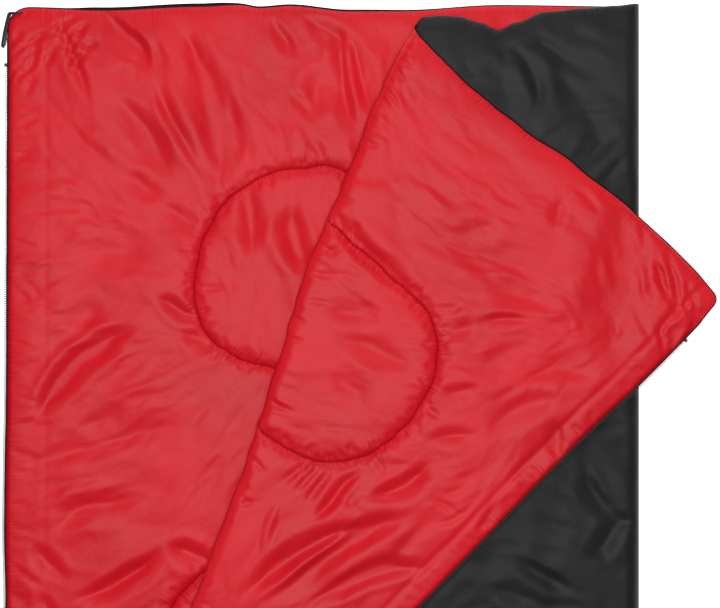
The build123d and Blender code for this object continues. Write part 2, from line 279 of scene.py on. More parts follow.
# Folds of the flap's lining, as it lies folded back.
FLAP_FOLDS = [
    (6.5, 10, 8, 0.5, (270, 700), (300, 675), (332, 650), (379, 622), (432, 604)),
    (-3.5, 5, 5, 0.6, (285, 706), (325, 676), (372, 640), (434, 606)),
    (5.5, 14, 16, 0.3, (300, 715), (345, 672), (396, 630), (440, 610), (490, 580)),
    (-3, 10, 10, 0.2, (340, 715), (400, 664), (460, 622), (520, 590)),
    (7, 10, 9, 0.5, (338, 716), (375, 690), (420, 668), (460, 660), (512, 662)),
    (6.5, 7, 12, 0.6, (420, 577), (450, 571), (480, 556), (505, 530)),
    (3.5, 7, 8, 0.6, (495, 513), (515, 505), (560, 502)),
    (5, 5, 6, 0.7, (424, 542), (400, 562), (385, 582), (362, 606)),
    (3.5, 4, 4, 0.8, (362, 532), (342, 548), (322, 562)),
    (3.5, 4, 4, 0.8, (376, 536), (357, 554), (338, 575)),
    (3, 4, 4, 0.8, (388, 540), (372, 560), (352, 586)),
    (-3, 4, 5, 0.6, (326, 577), (312, 612), (304, 648)),
    (4, 7, 6, 0.6, (402, 570), (412, 588), (430, 598)),
    (3, 4, 4, 0.8, (485, 478), (485, 496), (484, 512)),
    (2.5, 4, 4, 0.7, (490, 580), (515, 583), (540, 600)),
    (2.5, 4, 4, 0.7, (500, 610), (528, 604), (560, 583)),
    (5, 12, 6, 0.4, (378, 228), (402, 262), (432, 298), (470, 330), (500, 352)),
    (3.5, 14, 12, 0.2, (378, 365), (412, 362), (450, 376)),
    (3.5, 12, 12, 0.2, (385, 391), (420, 395), (452, 410), (486, 426)),
    (3, 12, 12, 0.2, (382, 432), (412, 446), (422, 470)),
    (4, 6, 7, 0.6, (508, 372), (524, 362), (540, 352)),
    (4.5, 10, 8, 0.5, (512, 385), (530, 381), (556, 379)),
    (3, 4, 5, 0.7, (500, 357), (518, 355), (545, 352)),
    (4.5, 4.5, 7, 0.8, (556, 370), (580, 367), (620, 367)),
    (3.5, 8, 9, 0.4, (508, 455), (535, 452), (565, 444)),
    (3, 10, 10, 0.3, (560, 420), (585, 410), (610, 405)),
    (3, 20, 16, 0.2, (470, 262), (510, 278), (560, 290), (620, 312), (680, 350)),
    (2.5, 18, 16, 0.2, (560, 330), (620, 345), (660, 352)),
    (3, 14, 12, 0.3, (530, 262), (565, 258), (590, 245)),
    (3.5, 4, 5, 0.7, (458, 68), (452, 90), (440, 130)),
    (4, 5, 6, 0.6, (438, 90), (425, 125), (412, 150)),
    (2.5, 4, 4, 0.6, (492, 68), (498, 82), (500, 100)),
    (5.5, 20, 30, 0.2, (722, 230), (730, 300), (720, 360), (706, 430)),
    (3, 3.5, 4, 0.8, (762, 290), (770, 318), (778, 345)),
    (3, 3.5, 4, 0.8, (776, 292), (787, 325), (792, 372)),
    (3, 3.5, 4, 0.8, (800, 325), (810, 345), (813, 372)),
    (2.5, 3, 3.5, 0.8, (822, 345), (818, 365), (814, 388)),
    (-2.5, 3, 3.5, 0.7, (800, 375), (790, 400), (782, 430)),
    (3, 14, 14, 0.2, (560, 500), (610, 470), (660, 462)),
    (3, 14, 14, 0.2, (590, 560), (640, 520), (680, 480)),
    (3.5, 5, 8, 0.5, (646, 480), (652, 510), (653, 545)),
    (4, 6, 5, 0.7, (580, 577), (572, 600), (555, 620)),
    (2.5, 14, 12, 0.2, (600, 440), (650, 425), (700, 440)),
    (3, 6, 7, 0.4, (664, 215), (655, 240), (650, 265)),
    (2.5, 4, 5, 0.6, (700, 205), (715, 225), (735, 235)),
    (2.5, 4, 5, 0.6, (672, 205), (690, 222), (705, 250)),
]

# Folds of the front panel's shell, where it shows beside the flap.
SHELL_FOLDS = [
    (6, 8, 6, 0.6, (583, 30), (600, 38), (622, 75), (630, 105), (618, 138)),
    (-3, 8, 8, 0.3, (592, 55), (606, 85), (610, 120)),
    (5, 8, 10, 0.5, (590, 36), (625, 38), (665, 62), (700, 90)),
    (4, 9, 9, 0.5, (655, 25), (685, 35), (705, 48)),
    (5, 10, 12, 0.4, (728, 140), (700, 168), (668, 192)),
    (-3, 9, 9, 0.3, (735, 158), (712, 185), (695, 210)),
    (5, 8, 8, 0.5, (738, 168), (716, 195), (702, 222)),
    (3.5, 5, 6, 0.6, (720, 218), (735, 214), (752, 212)),
    (4.5, 7, 8, 0.5, (540, 48), (548, 62), (555, 80)),
    (4, 12, 14, 0.2, (640, 60), (672, 100), (700, 150), (712, 190)),
    (5.5, 8, 10, 0.5, (676, 535), (694, 572), (718, 598), (752, 610)),
    (-3.5, 5, 5, 0.4, (688, 532), (706, 570), (722, 590)),
    (6.5, 9, 8, 0.5, (674, 660), (700, 642), (722, 612), (752, 603)),
    (6, 10, 9, 0.4, (592, 648), (630, 665), (660, 682), (680, 690)),
    (-4, 8, 8, 0.3, (604, 618), (620, 648), (655, 668), (682, 672), (700, 640), (716, 610)),
    (4, 12, 12, 0.2, (620, 590), (648, 610), (662, 640)),
    (4.5, 9, 9, 0.4, (565, 676), (600, 692), (640, 705), (690, 706)),
    (-3, 7, 7, 0.3, (570, 688), (588, 708), (615, 716)),
    (3.5, 5, 6, 0.6, (735, 620), (745, 640), (752, 665)),
    (3.5, 7, 7, 0.4, (690, 498), (712, 497), (735, 492)),
]


# Which way the cloth's small wrinkles run: millimetres across from the left edge and down from
# the head edge, the heading in degrees from +X, and how far around it holds.
BACK_RUNS = [
    (60, 60, -55, 110),
    (200, 100, -68, 100),
    (330, 60, -58, 80),
    (410, 90, -85, 60),
    (150, 220, -48, 80),
    (30, 250, 8, 60),
    (110, 330, 5, 80),
    (348, 300, -82, 75),
    (205, 360, -30, 45),
    (100, 430, 36, 100),
    (150, 510, 22, 90),
    (50, 570, 18, 90),
    (260, 560, 62, 80),
    (120, 660, 28, 110),
    (300, 1150, 70, 300),
    (450, 1600, -60, 300),
]
FLAP_RUNS = [
    (480, 80, -62, 70),
    (430, 160, 70, 60),
    (560, 180, -42, 80),
    (455, 285, -36, 75),
    (400, 400, -12, 90),
    (570, 370, 2, 70),
    (620, 290, -20, 90),
    (705, 330, -84, 80),
    (790, 335, -72, 50),
    (700, 440, 30, 70),
    (640, 500, -84, 55),
    (600, 580, 45, 80),
    (490, 520, -12, 55),
    (350, 555, 40, 45),
    (400, 650, 33, 100),
    (320, 480, -30, 45),
    (250, 900, 80, 200),
    (100, 1500, 20, 300),
]
SHELL_RUNS = [
    (600, 70, -62, 70),
    (690, 60, -32, 60),
    (705, 180, 42, 60),
    (700, 600, -45, 60),
    (630, 660, -24, 60),
    (570, 700, 20, 60),
    (300, 900, 75, 300),
    (500, 1500, -30, 300),
]


def headings(x, y, runs):
    """The way the wrinkles run at each place, as the cosine and sine of twice the heading."""
    double_cos, double_sin = np.full(x.shape, 1e-6), np.zeros(x.shape)
    for across, down, heading, reach in runs:
        px, py = bag_point(across, down)
        weight = np.exp(-((x - px) ** 2 + (y - py) ** 2) / (reach * MM) ** 2) + 1e-5
        double_cos += weight * math.cos(math.radians(2 * heading))
        double_sin += weight * math.sin(math.radians(2 * heading))
    size = np.hypot(double_cos, double_sin)
    return double_cos / size, double_sin / size


def wrinkles(x, y, runs, size_mm, long, seed):
    """Wrinkles along the cloth's headings: creased valleys with rounded cloth between them."""
    double_cos, double_sin = headings(x, y, runs)
    size = size_mm * MM
    bend = 0.55 * size * noise(x, y, 3.1 * size, seed + 90)
    total, weights = np.zeros(x.shape), np.zeros(x.shape)
    for step in range(8):
        turn = step * math.pi / 8
        lean = double_cos * math.cos(2 * turn) + double_sin * math.sin(2 * turn)
        weight = np.maximum(lean, 0) ** 4
        along = (x * math.cos(turn) + y * math.sin(turn)) / long
        across = y * math.cos(turn) - x * math.sin(turn) + bend
        wave = noise(along, across, size, seed + step)
        creased = 1.7 * np.sqrt(wave**2 + 0.004) - 0.36
        ridged = 0.30 - 1.5 * np.sqrt(noise(along, across, size * 0.9, seed + step + 20) ** 2 + 0.003)
        total += weight * (0.45 * wave * 1.4 + 0.85 * creased + 0.45 * ridged)
        weights += weight
    return total / weights


def pucker_line(x, y, height, points, spacing_mm, reach_mm, depth_mm, seed, both=True):
    """Small creases that cross a stitch line, where the thread gathers the cloth."""
    line = rounded_line(points, 4)
    walked = distances_along(line)
    draw = np.random.default_rng(seed)
    place = 0.0
    while place < walked[-1]:
        centre = np.array([np.interp(place, walked, line[:, k]) for k in (0, 1)])
        ahead = np.array([np.interp(place + 0.002, walked, line[:, k]) for k in (0, 1)])
        forward = ahead - centre
        if np.hypot(*forward) > 1e-6:
            forward /= np.hypot(*forward)
            sideways = np.array([-forward[1], forward[0]])
            for sign in (1, -1) if both else (1,):
                length = reach_mm * MM * draw.gamma(2.2, 0.45)
                lean = draw.normal(0, 0.35)
                way = sideways * sign + forward * lean
                start = centre + way * 0.0015
                size = draw.uniform(0.5, 1.2)
                width = draw.uniform(2.4, 3.6)
                points_out = [start, start + way * length * 0.5, start + way * length]
                press(x, y, height, points_out, depth_mm * size, width, width, 0.5, 0.45)
        place += spacing_mm * MM * draw.uniform(0.6, 1.4)


def ring_line(centre, folded_shape, steps=144):
    """One quilted ring, pulled out of round by the cloth, as points in the flat panel."""
    turn = np.linspace(0, 2 * np.pi, steps + 1)
    px, py = RING_RADIUS * np.cos(turn) + centre[1], RING_RADIUS * np.sin(turn)
    uneven = 2.6 * noise(px, py, 0.03, 161) + 1.5 * noise(px, py, 0.012, 162)
    radius = RING_RADIUS + uneven * MM
    for heading, spread, pull_mm in folded_shape:
        gap = (np.degrees(turn) - heading + 180) % 360 - 180
        radius += pull_mm * MM * np.exp(-((gap / spread) ** 2))
    return np.column_stack([centre[0] + radius * np.cos(turn), centre[1] + radius * np.sin(turn)])


# Each pull is a heading in degrees, how wide it spreads, and how far it moves the thread.
BACK_PULLS = [[(212, 30, 15), (70, 14, 9)], [(60, 60, 3)], [(200, 40, 6)], [(330, 40, 6)]]
FRONT_PULLS_FOLDED = [(48, 26, -17), (93, 11, 26), (-92, 40, 16), (-135, 20, 6)]
FRONT_PULLS = [None, [(120, 40, 5)], [(20, 40, 6)], [(250, 40, 6)]]
ring_lines_back = [ring_line(centre, pulls) for centre, pulls in zip(rings_back, BACK_PULLS)]
flap_ring_centre = mirrored(*rings_front[0])
flap_ring = ring_line(flap_ring_centre, FRONT_PULLS_FOLDED)
ring_lines_front = [np.column_stack(mirrored(flap_ring[:, 0], flap_ring[:, 1]))]
ring_lines_front += [
    ring_line(centre, pulls) for centre, pulls in zip(rings_front[1:], FRONT_PULLS[1:])
]


def ring_distance(x, y, line, centre):
    """How far a point is from a ring's thread, positive outside it."""
    turn = np.arctan2(line[:-1, 1] - centre[1], line[:-1, 0] - centre[0])
    radius = np.hypot(line[:-1, 0] - centre[0], line[:-1, 1] - centre[1])
    order = np.argsort(turn)
    heading = np.arctan2(y - centre[1], x - centre[0])
    return np.hypot(x - centre[0], y - centre[1]) - np.interp(
        heading, turn[order], radius[order], period=2 * np.pi
    )


def quilted(x, y, lines, centres, depth_mm, width_mm):
    """How far the stitched rings pull the cloth down."""
    pulled = np.zeros_like(x)
    for line, centre in zip(lines, centres):
        gap = np.abs(ring_distance(x, y, line, centre)) / (width_mm * MM)
        pulled = np.maximum(pulled, depth_mm * MM * np.exp(-gap))
    return pulled


# ---- the panels' grids ----------------------------------------------------------------
FINE = 3.0 * MM
COARSE = 9 * MM
FINE_FROM = HEAD - 0.76


def spaced(start, stop, step):
    """Evenly spaced places from start up to stop."""
    count = max(2, round((stop - start) / step))
    return np.linspace(start, stop, count + 1)


def panel_grid(step_across, step_fine, step_coarse):
    """x and y of a panel's grid lines, closer together towards the head."""
    columns = spaced(LEFT, RIGHT, step_across)
    rows = np.concatenate(
        [spaced(FOOT, FINE_FROM, step_coarse)[:-1], spaced(FINE_FROM, HEAD, step_fine)]
    )
    return np.meshgrid(columns, rows)


def from_seam(x, y):
    """How far a point of the flat panel lies from its seamed edges."""
    a, b = x - LEFT, HEAD - y
    c = y - FOOT
    near = np.minimum(np.minimum(a, b), c)
    blend_width = 14 * MM
    corner = np.clip((blend_width - np.abs(a - b)) / blend_width, 0, 1)
    return near - corner**2 * blend_width * 0.25 * ease(near / blend_width)


def corners_rounded(x, y, head_corner=HEAD_CORNER):
    """Draws the grid's square corners in to the panel's round ones."""
    x, y = x.copy(), y.copy()
    for corner_y, radius, up in ((HEAD, head_corner, 1), (FOOT, FOOT_CORNER, -1)):
        cx, cy = LEFT + radius, corner_y - up * radius
        a, b = (cx - x) / radius, up * (y - cy) / radius
        inside = (a > 0) & (b > 0)
        scale = np.where(inside, np.maximum(a, b) / np.maximum(np.hypot(a, b), 1e-9), 1)
        x, y = np.where(inside, cx - a * scale * radius, x), np.where(
            inside, cy + up * b * scale * radius, y
        )
    return x, y


def pillow(distance, width):
    """0 at a seam, rising like the side of a pillow to 1."""
    t = np.clip(distance / width, 0, 1)
    return np.sqrt(np.clip(1 - (1 - t) ** 2.4, 0, 1))


def mesh_object(name, vertices, faces, material, smooth=True):
    """A mesh object with one material."""
    mesh = bpy.data.meshes.new(name)
    mesh.from_pydata([tuple(v) for v in vertices], [], faces)
    mesh.validate()
    if smooth:
        mesh.polygons.foreach_set("use_smooth", [True] * len(mesh.polygons))
    mesh.materials.append(material)
    thing = bpy.data.objects.new(name, mesh)
    bpy.context.scene.collection.objects.link(thing)
    return thing


def grid_faces(rows, columns, upwards=True):
    """The faces of a grid of vertices."""
    index = np.arange(rows * columns).reshape(rows, columns)
    quads = np.stack([index[:-1, :-1], index[:-1, 1:], index[1:, 1:], index[1:, :-1]], -1)
    quads = quads.reshape(-1, 4)
    return (quads if upwards else quads[:, ::-1]).tolist()


def grid_object(name, x, y, z, seams, material, upwards=True):
    """A sheet of cloth from grids of x, y and z, that knows where its stitches are."""
    vertices = np.column_stack([x.ravel(), y.ravel(), z.ravel()])
    cloth = mesh_object(name, vertices, grid_faces(*x.shape, upwards), material)
    gap, place = seams
    cloth.data.attributes.new("seam_gap", "FLOAT", "POINT").data.foreach_set("value", gap.ravel())
    values = place.reshape(-1, 3).ravel()
    cloth.data.attributes.new("seam_place", "FLOAT_VECTOR", "POINT").data.foreach_set("vector", values)
    return cloth


def seams_near(x, y, lines, centres):
    """Each point's distance from its nearest stitch line, and its place along that line."""
    head_corner = np.exp(-((x - LEFT) ** 2 + (y - HEAD) ** 2) / 0.03**2)
    gap = from_seam(x, y) + 2 * MM + 30 * MM * head_corner
    by_side = x - LEFT < np.minimum(HEAD - y, y - FOOT)
    place = np.stack([np.where(by_side, 0, x), np.where(by_side, y, 0), 5 + by_side * 1.0], -1)
    for line, centre in zip(lines, centres):
        distance = ring_distance(x, y, line, centre)
        nearer = np.abs(distance) < np.abs(gap)
        heading = np.arctan2(y - centre[1], x - centre[0])
        round_ring = [RING_RADIUS * np.cos(heading), RING_RADIUS * np.sin(heading), 0.12 * distance]
        gap = np.where(nearer, distance, gap)
        place = np.where(nearer[..., None], np.stack(round_ring, -1), place)
    return gap, place


# ---- materials ------------------------------------------------------------------------
def material_nodes(name, roughness, metallic=0.0):
    """A new material, its nodes, its links and its shader."""
    material = bpy.data.materials.new(name)
    material.use_nodes = True
    nodes, links = material.node_tree.nodes, material.node_tree.links
    shader = nodes["Principled BSDF"]
    shader.inputs["Roughness"].default_value = roughness
    shader.inputs["Metallic"].default_value = metallic
    return material, nodes, links, shader


def colour_ramp(nodes, dark, light):
    """A ramp from a dark colour to a light one."""
    ramp = nodes.new("ShaderNodeValToRGB")
    for element, place, colour in zip(ramp.color_ramp.elements, (0.3, 0.7), (dark, light)):
        element.position = place
        element.color = (*colour, 1)
    return ramp


def bump_node(nodes, links, height, strength, distance):
    """A bump from a height socket."""
    bump = nodes.new("ShaderNodeBump")
    bump.inputs["Strength"].default_value = strength
    bump.inputs["Distance"].default_value = distance
    links.new(height, bump.inputs["Height"])
    return bump


def noise_node(nodes, links, place, scale, detail):
    """A noise texture at a place socket."""
    texture = nodes.new("ShaderNodeTexNoise")
    texture.inputs["Scale"].default_value = scale
    texture.inputs["Detail"].default_value = detail
    links.new(place, texture.inputs["Vector"])
    return texture


def woven_cloth(name, dark, base, light, weave_mm, roughness, sheen, specular, crinkle):
    """Fine woven polyester: soft colour variation, crinkles, a plain weave and a sheen."""
    material, nodes, links, shader = material_nodes(name, roughness)
    shader.inputs["Specular IOR Level"].default_value = specular
    shader.inputs["Sheen Weight"].default_value = sheen
    shader.inputs["Sheen Roughness"].default_value = 0.35
    shader.inputs["Sheen Tint"].default_value = (*light, 1)
    place = nodes.new("ShaderNodeTexCoord")
    tone = noise_node(nodes, links, place.outputs["Object"], 9, 6)
    ramp = colour_ramp(nodes, dark, light)
    middle = ramp.color_ramp.elements.new(0.5)
    middle.color = (*base, 1)
    links.new(tone.outputs["Fac"], ramp.inputs["Fac"])
    threads = []
    for direction in ("X", "Y"):
        wave = nodes.new("ShaderNodeTexWave")
        wave.bands_direction = direction
        wave.inputs["Scale"].default_value = 2 * math.pi / 20 / (weave_mm * MM)
        wave.inputs["Distortion"].default_value = 0.6
        wave.inputs["Detail"].default_value = 1
        links.new(place.outputs["Object"], wave.inputs["Vector"])
        threads.append(wave)
    weave = nodes.new("ShaderNodeMath")
    weave.operation = "MULTIPLY"
    links.new(threads[0].outputs["Fac"], weave.inputs[0])
    links.new(threads[1].outputs["Fac"], weave.inputs[1])
    mix = nodes.new("ShaderNodeMix")
    mix.data_type = "RGBA"
    mix.blend_type = "MULTIPLY"
    mix.inputs["Factor"].default_value = 0.12
    links.new(ramp.outputs["Color"], mix.inputs[6])
    links.new(weave.outputs["Value"], mix.inputs[7])
    links.new(mix.outputs[2], shader.inputs["Base Color"])
    rough = nodes.new("ShaderNodeMapRange")
    rough.inputs["To Min"].default_value = roughness - 0.07
    rough.inputs["To Max"].default_value = roughness + 0.09
    links.new(tone.outputs["Fac"], rough.inputs["Value"])
    links.new(rough.outputs["Result"], shader.inputs["Roughness"])
    creases = noise_node(nodes, links, place.outputs["Object"], 70, 5)
    creases.inputs["Distortion"].default_value = 0.8
    crease_bump = bump_node(nodes, links, creases.outputs["Fac"], crinkle, 0.8 * MM)
    weave_bump = bump_node(nodes, links, weave.outputs["Value"], 0.25, 0.1 * MM)
    links.new(crease_bump.outputs["Normal"], weave_bump.inputs["Normal"])
    gathers = gathered_bump(nodes, links)
    links.new(weave_bump.outputs["Normal"], gathers.inputs["Normal"])
    links.new(gathers.outputs["Normal"], shader.inputs["Normal"])
    return material


def sum_node(nodes, links, operation, first, second):
    """A math node on two sockets or numbers."""
    node = nodes.new("ShaderNodeMath")
    node.operation = operation
    for socket, value in zip(node.inputs, (first, second)):
        if isinstance(value, (int, float)):
            socket.default_value = value
        else:
            links.new(value, socket)
    return node.outputs["Value"]


def gathered_bump(nodes, links):
    """Fine creases where a stitch line gathers the cloth, from each vertex's place by its seam."""
    gap, place = nodes.new("ShaderNodeAttribute"), nodes.new("ShaderNodeAttribute")
    gap.attribute_name, place.attribute_name = "seam_gap", "seam_place"
    away = sum_node(nodes, links, "ABSOLUTE", gap.outputs["Fac"], 0)
    groove = sum_node(nodes, links, "POWER", math.e, sum_node(nodes, links, "MULTIPLY", away, -450))
    near = sum_node(nodes, links, "POWER", math.e, sum_node(nodes, links, "MULTIPLY", away, -130))
    creases = noise_node(nodes, links, place.outputs["Vector"], 330, 2)
    gathers = sum_node(nodes, links, "MULTIPLY", creases.outputs["Fac"], near)
    height = sum_node(nodes, links, "SUBTRACT", gathers, sum_node(nodes, links, "MULTIPLY", groove, 0.9))
    return bump_node(nodes, links, height, 1.0, 3.2 * MM)


def speckled(
    name, dark, light, scale, roughness, bump_mm, metallic=0.0, stretch=(1, 1, 1), specular=0.5
):
    """A finish with a fine grain: thread, tape, plastic or painted metal."""
    material, nodes, links, shader = material_nodes(name, roughness, metallic)
    shader.inputs["Specular IOR Level"].default_value = specular
    place = nodes.new("ShaderNodeTexCoord")
    mapping = nodes.new("ShaderNodeMapping")
    mapping.inputs["Scale"].default_value = stretch
    links.new(place.outputs["Object"], mapping.inputs["Vector"])
    grain = noise_node(nodes, links, mapping.outputs["Vector"], scale, 4)
    ramp = colour_ramp(nodes, dark, light)
    links.new(grain.outputs["Fac"], ramp.inputs["Fac"])
    links.new(ramp.outputs["Color"], shader.inputs["Base Color"])
    bump = bump_node(nodes, links, grain.outputs["Fac"], 0.6, bump_mm * MM)
    links.new(bump.outputs["Normal"], shader.inputs["Normal"])
    return material


RED = woven_cloth(
    "red_lining",
    dark=(0.56, 0.003, 0.011),
    base=(0.62, 0.005, 0.014),
    light=(0.67, 0.008, 0.018),
    weave_mm=0.5,
    roughness=0.43,
    sheen=0.03,
    specular=0.2,
    crinkle=0.45,
)
BLACK = woven_cloth(
    "black_shell",
    dark=(0.009, 0.008, 0.008),
    base=(0.012, 0.011, 0.011),
    light=(0.016, 0.014, 0.014),
    weave_mm=0.6,
    roughness=0.47,
    sheen=0.01,
    specular=0.16,
    crinkle=0.35,
)
BATTING = speckled("white_batting", (0.62, 0.62, 0.60), (0.82, 0.82, 0.80), 220, 0.95, 1.5)
# The thread's red is darker than the lining's. This is partly the thread's own colour and partly painted
# shade of the stitch groove and its needle holes.
RED_THREAD_AND_GROOVE_SHADE = speckled(
    "red_thread_and_painted_groove_shade", (0.26, 0.002, 0.008), (0.42, 0.003, 0.012), 2400, 0.85, 0.2, specular=0.06
)
BLACK_THREAD = speckled("black_thread", (0.012, 0.012, 0.012), (0.04, 0.04, 0.04), 2400, 0.6, 0.2)
TAPE = speckled("zip_tape_weave", (0.014, 0.014, 0.015), (0.04, 0.038, 0.038), 1600, 0.8, 0.3)
COIL = speckled("zip_coil_nylon", (0.010, 0.010, 0.010), (0.03, 0.03, 0.03), 900, 0.38, 0.05)
METAL = speckled("painted_zip_metal", (0.02, 0.02, 0.022), (0.05, 0.05, 0.055), 700, 0.32, 0.06, 0.6)
WEBBING = speckled(
    "strap_webbing", (0.012, 0.012, 0.012), (0.05, 0.048, 0.046), 1300, 0.75, 0.4, 0, (1, 3, 1)
)
HOOK = speckled("hook_tape", (0.02, 0.02, 0.02), (0.08, 0.08, 0.08), 1800, 0.6, 0.9)
LOOP = speckled("loop_tape", (0.02, 0.02, 0.02), (0.06, 0.06, 0.06), 1200, 0.95, 1.0)


# ---- relief of each face --------------------------------------------------------------
FACE_HEIGHT = 6.4 * MM


def cloth_noise(x, y, runs, seed):
    """The unevenness of thin cloth over batting."""
    broad = noise(x, y, 0.15, seed) * 3.0
    large = wrinkles(x, y, runs, 46, 2.4, seed + 100) * 3.5
    patches = 0.25 + 1.2 * ease(noise(x, y, 0.08, seed + 5) + 0.5)
    middling = wrinkles(x, y, runs, 22, 3.0, seed + 200) * 1.7 * patches
    small = wrinkles(x, y, runs, 10, 3.6, seed + 300) * 0.9 * patches
    return (broad + large + middling + small) * MM


def strip_wrinkles(x, y, height, start, stop, inwards, width_mm, seed, spacing_mm=17):
    """Short creases across the facing strip beside a zip, from start to stop."""
    draw = np.random.default_rng(seed)
    start, stop, inwards = np.array(start), np.array(stop), np.array(inwards)
    length = np.hypot(*(stop - start))
    forward = (stop - start) / length
    place = 0.01
    while place < length:
        inner = draw.uniform(0.55, 1.0) * width_mm * MM
        lean = draw.normal(0.25, 0.35)
        a = start + forward * place + inwards * 2 * MM
        b = a + inwards * inner + forward * inner * lean
        press(x, y, height, [a, (a + b) / 2, b], draw.uniform(0.3, 1.3), draw.uniform(2.5, 5))
        place += spacing_mm * MM * draw.uniform(0.5, 1.6)


def corner_wrinkles(x, y, height, centre, heading, spread_mm, count, seed, folded=False):
    """A patch of small creases all leaning about the same way, at a sewn corner."""
    draw = np.random.default_rng(seed)
    for _ in range(count):
        middle = np.array(bag_point(*centre)) + draw.normal(0, spread_mm * MM / 2, 2)
        turn = math.radians(heading + draw.normal(0, 14))
        half = np.array([math.cos(turn), math.sin(turn)]) * draw.uniform(8, 24) * MM
        bend = np.array([-half[1], half[0]]) * draw.uniform(-0.15, 0.15)
        points = [middle - half, middle + bend, middle + half]
        if folded:
            points = [mirrored(*point) for point in points]
        press(x, y, height, points, draw.uniform(1, 2.4), draw.uniform(2.5, 4.5), None, 0.6)


def face_top(x, y, lines, centres, unevenness):
    """How far a panel's face stands from its middle layer before its larger folds."""
    distance = from_seam(x, y)
    rise = SEAM_HALF + (FACE_HEIGHT - SEAM_HALF) * pillow(distance, 36 * MM)
    rise -= quilted(x, y, lines, centres, 5.6, 7) * ease(distance / 0.01)
    rise += unevenness * (0.12 + 0.88 * ease(distance / 0.035)) * ease(distance / 0.006)
    return rise


def settled(rise, most):
    """Keeps a face between the seam's thickness and the most that it may stand out."""
    room = most - 2 * MM
    over = np.maximum(rise - room, 0)
    rise = np.where(rise > room, room + 2 * MM * (1 - np.exp(-over / (2 * MM))), rise)
    least = SEAM_HALF * 0.6
    under = np.maximum(least + MM - rise, 0)
    return rise + np.where(under > 0, under - MM * (1 - np.exp(-under / MM)), 0)


def head_gathers(x, y, rise, from_zip, spacing_mm, reach_mm, depth_mm, seed):
    """Small gathers along a panel's head edge, on its inner side."""
    line = [(LEFT + from_zip, HEAD - 3 * MM), (RIGHT - 0.02, HEAD - 3 * MM)]
    pucker_line(x, y, rise, line, spacing_mm, reach_mm, depth_mm, seed, both=False)


def back_lining_rise(x, y):
    """The back panel's lining."""
    rise = face_top(x, y, ring_lines_back, rings_back, cloth_noise(x, y, BACK_RUNS, 11))
    press_all(x, y, rise, BACK_FOLDS, share=1.2)
    facing = x - LEFT - BACK_FACING
    rise -= 0.4 * MM * np.exp(-((facing / (2.6 * MM)) ** 2))
    for line, seed in zip(ring_lines_back, range(21, 25)):
        pucker_line(x, y, rise, line, 6.5, 8, 1.8, seed)
    strip_wrinkles(x, y, rise, (LEFT, HEAD - 0.02), (LEFT, FOOT + 0.06), (1, 0), 42, 31)
    corner_wrinkles(x, y, rise, (34, 45), 55, 42, 16, 41)
    corner_wrinkles(x, y, rise, (75, 40), 30, 40, 8, 42)
    head_gathers(x, y, rise, 0.02, 11, 14, 1.3, 51)
    low_line = [(LEFT + 0.06, FOOT + 3 * MM), (RIGHT - 0.02, FOOT + 3 * MM)]
    pucker_line(x, y, rise, low_line, 14, 14, 1.3, 52, both=True)
    return settled(rise, LOFT + 2 * MM)


def front_lining_rise(x, y):
    """The front panel's lining, flat; the flap's own folds are pressed where it lies flat."""
    on_flap = to_crease(x, y) < 0
    folded_x, folded_y = mirrored(x, y)
    folded_x, folded_y = np.where(on_flap, folded_x, x), np.where(on_flap, folded_y, y)
    unevenness = cloth_noise(folded_x, folded_y, FLAP_RUNS, 61)
    rise = face_top(x, y, ring_lines_front, rings_front, unevenness)
    press_all(x, y, rise, FLAP_FOLDS, folded=True, share=1.2)
    facing = x - LEFT - FRONT_FACING
    rise -= np.where(on_flap, 1.5, 0.5) * MM * np.exp(-((facing / (3.5 * MM)) ** 2))
    corner_wrinkles(x, y, rise, (772, 322), -74, 62, 16, 43, folded=True)
    corner_wrinkles(x, y, rise, (800, 372), 58, 40, 8, 44, folded=True)
    for line, seed in zip(ring_lines_front, range(71, 75)):
        pucker_line(x, y, rise, line, 6.0, 9, 2.0, seed)
    strip_wrinkles(x, y, rise, (LEFT, HEAD - 0.02), (LEFT, FOOT + 0.06), (1, 0), 26, 81)
    crease_foot = crease_point[:2] - crease_along * 1.28
    pucker_line(x, y, rise, [crease_point[:2], crease_foot], 11, 20, 2.0, 83)
    head_gathers(x, y, rise, 0.02, 12, 12, 1.2, 82)
    return settled(rise, LOFT + 1.2 * MM)


def front_shell_rise(x, y):
    """The front panel's shell, flat."""
    rise = face_top(x, y, ring_lines_front, rings_front, cloth_noise(x, y, SHELL_RUNS, 91))
    press_all(x, y, rise, SHELL_FOLDS, share=0.65)
    for line, seed in zip(ring_lines_front[1:], range(101, 104)):
        pucker_line(x, y, rise, line, 9, 8, 1.4, seed)
    head_gathers(x, y, rise, 0.05, 13, 14, 1.4, 105)
    rise = settled(rise, LOFT + 2 * MM)
    at_crease = ease(2 - np.abs(to_crease(x, y)) / 0.026) * ease(from_seam(x, y) / 0.02)
    return rise + (LOFT + 0.1 * MM - rise) * at_crease


def back_shell_rise(x, y):
    """The back panel's shell, which lies on the ground."""
    rise = face_top(x, y, ring_lines_back, rings_back, cloth_noise(x, y, BACK_RUNS, 111))
    for line, seed in zip(ring_lines_back, range(121, 125)):
        pucker_line(x, y, rise, line, 10, 9, 1.4, seed)
    return settled(rise, LOFT - 0.2 * MM)


# ---- edges seen from above ------------------------------------------------------------
def back_warp(x, y):
    """Small waves of the back panel's edges."""
    head_wave = through(
        [-0.36, -0.26, -0.15, -0.10, -0.076, -0.04, 0.03, 0.09, 0.21, 0.375],
        [3, 0, 4.5, 6.5, 3, 5.5, -1, -1, 5.5, 3.5],
        x,
    )
    y_new = y + head_wave * MM * ease(1 - (HEAD - y) / 0.09)
    side_wave = through(
        [-0.95, -0.6, -0.1, 0.25, 0.33, 0.55, 0.9, 0.95], [0, 1.5, 0, 2, 3.5, 1, 0, 0], y
    )
    x_new = x - side_wave * MM * ease(1 - (x - LEFT) / 0.09)
    return x_new, y_new


